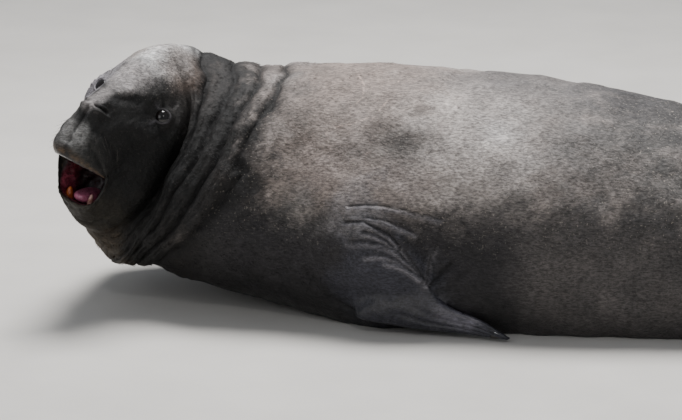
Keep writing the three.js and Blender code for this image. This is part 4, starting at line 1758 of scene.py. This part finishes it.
    def grow(self, name: str, source: Mesh, seed: int, **sizes: float) -> Object:
        """Evaluates the tree on a mesh.

        Args:
            name: The new piece's name.
            source: The mesh that carries the roots and what it keeps for them.
            seed: The fixed seed.
            sizes: Values of the tree's named inputs.

        Returns:
            The grown piece as a plain mesh.
        """
        carrier = bpy.data.objects.new(name + "_roots", source)
        bpy.context.scene.collection.objects.link(carrier)
        modifier = carrier.modifiers.new("grow", "NODES")
        modifier.node_group = self.tree
        for item in self.tree.interface.items_tree:
            if item.in_out == "INPUT" and item.name in sizes:
                modifier[item.identifier] = float(sizes[item.name])
            elif item.in_out == "INPUT" and item.name == "Seed":
                modifier[item.identifier] = seed
        graph = bpy.context.evaluated_depsgraph_get()
        grown = bpy.data.meshes.new_from_object(carrier.evaluated_get(graph))
        bpy.data.objects.remove(carrier)
        grown.name = name
        for extra in self.PASSING:
            if extra in grown.attributes:
                grown.attributes.remove(grown.attributes[extra])
        made = bpy.data.objects.new(name, grown)
        bpy.context.scene.collection.objects.link(made)
        return made


class Part(Enum):
    """The lengths of the coat, each with its first and last place on the body."""

    RUMP = (1.2, 6.2)
    FLANK = (6.2, 9.2)
    SHOULDERS = (9.2, 11.6)
    NECK = (11.6, 15.4)
    HEAD = (15.4, 21.6)


@dataclass(frozen=True)
class Coat:
    """The short coat: small flat tufts that overlap and lie towards the tail."""

    length: float = 0.012
    width: float = 0.0016
    scars: tuple[Array, ...] = ()
    lift: float = 0.16
    stray: float = 0.22
    first_seed: int = 40
    quick_share: float = 0.08
    density: dict[Part, float] = field(default_factory=lambda: {
        Part.RUMP: 5200.0,
        Part.FLANK: 8200.0,
        Part.SHOULDERS: 12500.0,
        Part.NECK: 17000.0,
        Part.HEAD: 30000.0,
    })

    def prepare(self, skin: Object, body: Skin) -> tuple[Array, Array]:
        """Keeps the lie, the unwrapped chart and the tufts' size on the skin.

        Args:
            skin: The finished skin.
            body: What made it.

        Returns:
            How thickly the coat grows at each point, and the points' places.
        """
        mesh, lofted = skin.data, body.lofted
        place, angle, fin = (read(mesh, name) for name in ("place", "angle", "fin"))
        points = positions(mesh)
        ahead = np.clip(place + 0.04, 0, lofted.last)
        behind = np.clip(place - 0.04, 0, lofted.last)
        lie = unit(lofted.at(behind, angle) - lofted.at(ahead, angle))
        lie = unit(lie + 0.25 * np.stack([Waves(k, 90).at(points) for k in (31, 32, 33)], axis=1)
                   + np.array([0, 0, -0.25]))
        store(mesh, "lie", lie)
        length = np.interp(place, np.arange(lofted.last + 1), lofted.knots) / lofted.knots[-1]
        around = (angle + math.pi) / (2 * math.pi)
        store(mesh, "chart", np.stack([0.01 + 0.98 * around, 0.01 + 0.98 * length, length * 0], axis=1))
        growth = (1 - smooth(0.05, 0.4, fin)) * smooth(60, 150, points[:, 2])
        growth *= smooth(21.7, 21.0, place) * (np.abs(angle) < math.pi - 0.06)
        for eye in EYES:
            growth *= smooth(34, 50, np.linalg.norm(points - eye.centre(), axis=1))
        growth *= smooth(24, 48, np.linalg.norm(HEAD.local(points) - (200, 0, 10), axis=1))
        limb = np.linalg.norm((fold(points) - (80, 430, 240)) / (150, 200, 170), axis=1)
        growth *= smooth(0.5, 1.3, limb) * (1 - 0.9 * np.clip(read(mesh, "groove"), 0, 1))
        store(mesh, "size", 1.0 - 0.48 * smooth(14.6, 17.5, place) - 0.25 * smooth(9, 6, place))
        return growth, place

    def build(self, skin: Object, body: Skin) -> list[Object]:
        """Grows the coat on every length of the body.

        Args:
            skin: The finished skin.
            body: What made it.

        Returns:
            One piece for each length.
        """
        growth, place = self.prepare(skin, body)
        tree = Growth("short_coat", True, 3, 2, Hide("short_coat", True, self.scars).material())
        pieces = []
        for part in Part:
            first, last = part.value
            share = smooth(first - 0.15, first + 0.15, place) * smooth(last + 0.15, last - 0.15, place)
            store(skin.data, "growth", growth * share)
            thin = 1.0
            pieces.append(tree.grow("coat_" + part.name.lower(), skin.data, self.first_seed + len(pieces),
                                    Density=self.density[part] * thin, Length=self.length, Width=self.width,
                                    Lift=self.lift, Stray=self.stray, Curl=0.0))
        return pieces


def root_mesh(name: str, skin: Object, places: Array, ways: Array,
              sizes: Array) -> Mesh:
    """Roots on the skin for whiskers or claws.

    Args:
        name: The mesh's name.
        skin: The finished skin.
        places: Where the roots stand; each moves to the nearest point of the skin.
        ways: The directions in which they grow.
        sizes: Their sizes, 1 for the full length.

    Returns:
        A mesh of points, which keeps what Growth reads.
    """
    points = positions(skin.data)
    tree = search(points)
    index = [tree.find(at)[1] for at in places]
    mesh = bpy.data.meshes.new(name)
    mesh.from_pydata((points[index] * MM + SHIFT).tolist(), [], [])
    store(mesh, "out", normals(skin.data)[index])
    store(mesh, "lie", unit(ways))
    store(mesh, "size", sizes)
    store(mesh, "chart", np.zeros((len(index), 3)))
    return mesh


@dataclass(frozen=True)
class Whiskers:
    """Stiff whiskers on the pads and over the eyes."""

    length: float = 0.034
    width: float = 0.0009
    brow_count: int = 7
    brow_size: float = 0.55
    seed: int = 11

    def build(self, skin: Object) -> list[Object]:
        """Grows the whiskers of both sides."""
        horn = Gloss("whisker_horn", tone(58, 52, 46), tone(36, 32, 28), 300, 0.4, 0.0001, 0.1)
        growth = Growth("whiskers", False, 5, 7, horn.material())
        rng = np.random.default_rng(self.seed)
        pieces = []
        for side in SIDES:
            places, ways, sizes = [], [], []
            for at in whisker_places():
                places.append(HEAD.place(at * (1, side, 1)))
                way = np.array([0.3, side * 0.4, -0.85]) + rng.normal(0, 0.1, 3)
                ways.append(way @ HEAD.rows())
                sizes.append(0.55 + 0.75 * (290 - at[0]) / 110)
            for k in range(self.brow_count):
                at = np.array([34 - 7 * k, 92 + 4 * k, 46 + 3 * k])
                places.append(HEAD.place(at * (1, side, 1)))
                ways.append(np.array([0.5, side * 0.5, 0.75]) @ HEAD.rows())
                sizes.append(self.brow_size)
            name = "whiskers_left" if side > 0 else "whiskers_right"
            mesh = root_mesh(name + "_at", skin, np.array(places), np.array(ways), np.array(sizes))
            pieces.append(growth.grow(name, mesh, 5, Length=self.length, Width=self.width, Lift=0.35,
                                      Stray=0.08, Curl=0.12, Sunk=0.003))
        return pieces


@dataclass(frozen=True)
class Claws:
    """Five dark nails near the edge of each fore flipper."""

    length: float = 0.034
    width: float = 0.0062

    def build(self, skin: Object) -> list[Object]:
        """Sets each nail at the end of its digit."""
        horn = Gloss("claw_horn", tone(52, 46, 42), tone(28, 25, 24), 160, 0.35, 0.0004, 0.3)
        growth = Growth("claws", False, 10, 6, horn.material())
        digits = np.arange(5)
        along, across = 0.93 - 0.075 * digits, -0.6 + 0.34 * digits
        pieces = []
        for side in SIDES:
            shape = ForeFlipper(side)
            roots = shape.surface(along, across, np.ones(5))
            ways = shape.surface(along + 0.05, across, np.ones(5)) - roots
            name = "claws_left" if side > 0 else "claws_right"
            mesh = root_mesh(name + "_at", skin, roots, ways, 1 - 0.06 * digits)
            pieces.append(growth.grow(name, mesh, 7, Length=self.length, Width=self.width, Lift=0.16,
                                      Stray=0.04, Curl=-0.3, Sunk=0.003))
        return pieces


@dataclass
class Mouth:
    """The tongue and the two lower canines."""

    tongue_at: Triple = (98, 2, -296)
    tongue_size: Triple = (54, 30, 21)
    canine_tip: Triple = (144, 40, -268)
    canine_lean: Triple = (0.35, 0.08, 0.93)
    canine_length: float = 44.0
    canine_radius: float = 9.5

    def tube(self, name: str, rows: int, count: int, points: Array) -> Object:
        """A closed mesh of rings.

        Args:
            name: The object's name.
            rows: How many rings there are.
            count: Points in each ring.
            points: The rings' points, in the head's frame.

        Returns:
            The object, its faces outwards.
        """
        made = mesh_object(name, HEAD.place(points), band(rows, count) + caps(rows, count))
        bm = bmesh.new()
        bm.from_mesh(made.data)
        bmesh.ops.recalc_face_normals(bm, faces=bm.faces)
        bm.to_mesh(made.data)
        bm.free()
        return made

    def tongue(self) -> Object:
        """A soft tongue with a middle groove and a rounded tip."""
        rows, count = 28, 32
        t = np.linspace(0.02, 0.98, rows) * math.pi
        a = np.arange(count) / count * 2 * math.pi
        along, turn = (v.ravel() for v in np.meshgrid(t, a, indexing="ij"))
        across = np.sin(turn) * np.sin(along) ** 0.7
        up = np.cos(turn) * np.sin(along) ** 0.8
        groove = -0.2 * bell(across, 0.3) * smooth(0.1, 0.6, up) * smooth(0.35, 0.75, np.sin(along))
        local = np.stack([-np.cos(along) * self.tongue_size[0], across * self.tongue_size[1],
                          (up + groove) * self.tongue_size[2] + 5 * np.cos(along) ** 2], axis=1)
        return self.tube("tongue_soft", rows, count, local + np.array(self.tongue_at))

    def canine(self, side: int) -> Object:
        """A curved, tapered tooth with its root in the jaw; the right one is larger."""
        lean = unit(np.array(self.canine_lean) * (1, side, 1))
        across = unit(np.cross(lean, np.array([1.0, 0, 0])))
        fore = np.cross(across, lean)
        rows, count = 14, 14
        tip = np.array(self.canine_tip) * (1, side, 1) - (0, 0, 12 if side < 0 else 2)
        scale = 1.25 if side < 0 else 0.85
        points = []
        for r in range(rows):
            t = r / (rows - 1)
            radius = self.canine_radius * scale * math.sqrt(max(0.0, 1 - t**2.2)) + 0.5
            middle = tip - lean * self.canine_length * (1 - t) - fore * 7 * t * t
            for c in range(count):
                turn = 2 * math.pi * c / count
                across_part = across * radius * math.cos(turn)
                points.append(middle + across_part + fore * radius * 1.15 * math.sin(turn))
        return self.tube("canine_left" if side > 0 else "canine_right", rows, count, np.array(points))

    def build(self) -> list[Object]:
        """Makes and dresses the tongue and teeth."""
        tongue = self.tongue()
        soft = Gloss("tongue", tone(190, 110, 138), tone(150, 78, 104), 90, 0.3, 0.003)
        tongue.data.materials.append(soft.material())
        tooth = {
            1: Gloss("tooth_pale", tone(196, 160, 150), tone(150, 96, 84), 60, 0.3, 0.0008),
            -1: Gloss("tooth_stained", tone(204, 112, 50), tone(160, 74, 30), 60, 0.3, 0.0008),
        }
        pieces = [tongue]
        for side in SIDES:
            made = self.canine(side)
            made.data.materials.append(tooth[side].material())
            pieces.append(made)
        return pieces


@dataclass
class EyeBalls:
    """The two smooth eyeballs."""

    rows: int = 36
    columns: int = 56

    def build(self, eye: Eye) -> Object:
        """A glossy ball with a slightly fuller cornea."""
        t = np.linspace(0, math.pi, self.rows + 1)[1:-1]
        a = np.arange(self.columns) / self.columns * 2 * math.pi
        polar, turn = (v.ravel() for v in np.meshgrid(t, a, indexing="ij"))
        radius = (eye.radius - 0.4) * (1 - 0.012 * (1 - bell(polar, 0.45)))
        ways = np.stack([np.sin(polar) * np.cos(turn), np.sin(polar) * np.sin(turn), np.cos(polar)], axis=1)
        points = np.vstack([ways * radius[:, None], [[0, 0, eye.radius - 0.4], [0, 0, -eye.radius * 0.98]]])
        faces = band(len(t), self.columns, turned=True) + tips(len(t), self.columns)
        name = "eyeball_left" if eye.side > 0 else "eyeball_right"
        return mesh_object(name, points @ eye.axes() + eye.centre(), faces)


@dataclass(frozen=True)
class Lamp:
    """A square soft lamp that faces a point."""

    name: str
    at: Triple
    aim: Triple
    power: float
    size: float

    def build(self) -> None:
        """Makes the lamp."""
        data = bpy.data.lights.new(self.name, "AREA")
        data.energy = self.power
        data.size = self.size
        made = bpy.data.objects.new(self.name, data)
        made.location = self.at
        made.rotation_euler = (Vector(self.aim) - Vector(self.at)).to_track_quat("-Z", "Y").to_euler()
        bpy.context.scene.collection.objects.link(made)


@dataclass(frozen=True)
class Studio:
    """The plain pale floor and the soft light."""

    sky: tuple[float, float, float, float] = (0.86, 0.92, 1.0, 1)
    sky_strength: float = 0.3
    lamps: tuple[Lamp, ...] = (
        Lamp("key", (-0.8, 1.4, 6.0), (-0.2, 0, 0.4), 700, 2.6),
        Lamp("front", (-5.0, -6.0, 3.6), (-0.6, -0.2, 0.4), 64, 4.0),
        Lamp("glint", (0.8, -5.0, 4.6), (0.1, -0.4, 0.1), 34, 0.5),
    )

    def build(self) -> None:
        """Makes the floor, the sky and the lamps."""
        mesh = bpy.data.meshes.new("floor")
        mesh.from_pydata([(-30, -14, 0), (30, -14, 0), (30, 40, 0), (-30, 40, 0)], [], [[0, 1, 2, 3]])
        floor = bpy.data.objects.new("floor", mesh)
        bpy.context.scene.collection.objects.link(floor)
        paint = Paint("floor_pale", Roughness=0.7)
        cloud = paint.span(paint.noise(3, 3), 0.3, 0.7)
        colour = paint.mix(tone(206, 202, 196), tone(214, 210, 204), cloud)
        floor.data.materials.append(paint.done(Base_Color=colour))
        world = bpy.data.worlds.new("studio")
        world.use_nodes = True
        background = world.node_tree.nodes["Background"]
        background.inputs["Color"].default_value = self.sky
        background.inputs["Strength"].default_value = self.sky_strength
        bpy.context.scene.world = world
        for lamp in self.lamps:
            lamp.build()


def main() -> None:
    """Builds the seal piece by piece and reports each one."""
    logging.basicConfig(level=logging.INFO, format="%(message)s")
    Studio().build()
    CAMERA.build()
    body = Skin()
    skin = body.build()
    markings = Markings()
    markings.apply(skin)
    body.hold(skin.data)
    skin.data.materials.append(Hide(scars=markings.cuts).material())
    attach(skin, "root")
    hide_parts(*FLESH)
    LOG.info("skin: %d triangles", sum(len(p.vertices) - 2 for p in skin.data.polygons))
    coat = Coat(scars=markings.cuts)
    for piece in [*coat.build(skin, body), *Whiskers().build(skin), *Claws().build(skin)]:
        body.hold(piece.data, margin=1.0)
        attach(piece, "root")
        LOG.info("%s: %d triangles", piece.name, sum(len(p.vertices) - 2 for p in piece.data.polygons))
    shine = Gloss("eye_dark", tone(12, 10, 10), tone(22, 16, 14), 120, 0.08, 0.0001, 0.25)
    for eye in EYES:
        ball = EyeBalls().build(eye)
        ball.data.materials.append(shine.material())
        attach(ball, "root")
        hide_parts("eye_left" if eye.side > 0 else "eye_right")
    tongue, *teeth = Mouth().build()
    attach(tongue, "root")
    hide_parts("tongue")
    for tooth in teeth:
        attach(tooth, "root")
    LOG.info("eyes, tongue and teeth are in")


if __name__ == "__main__":
    main()
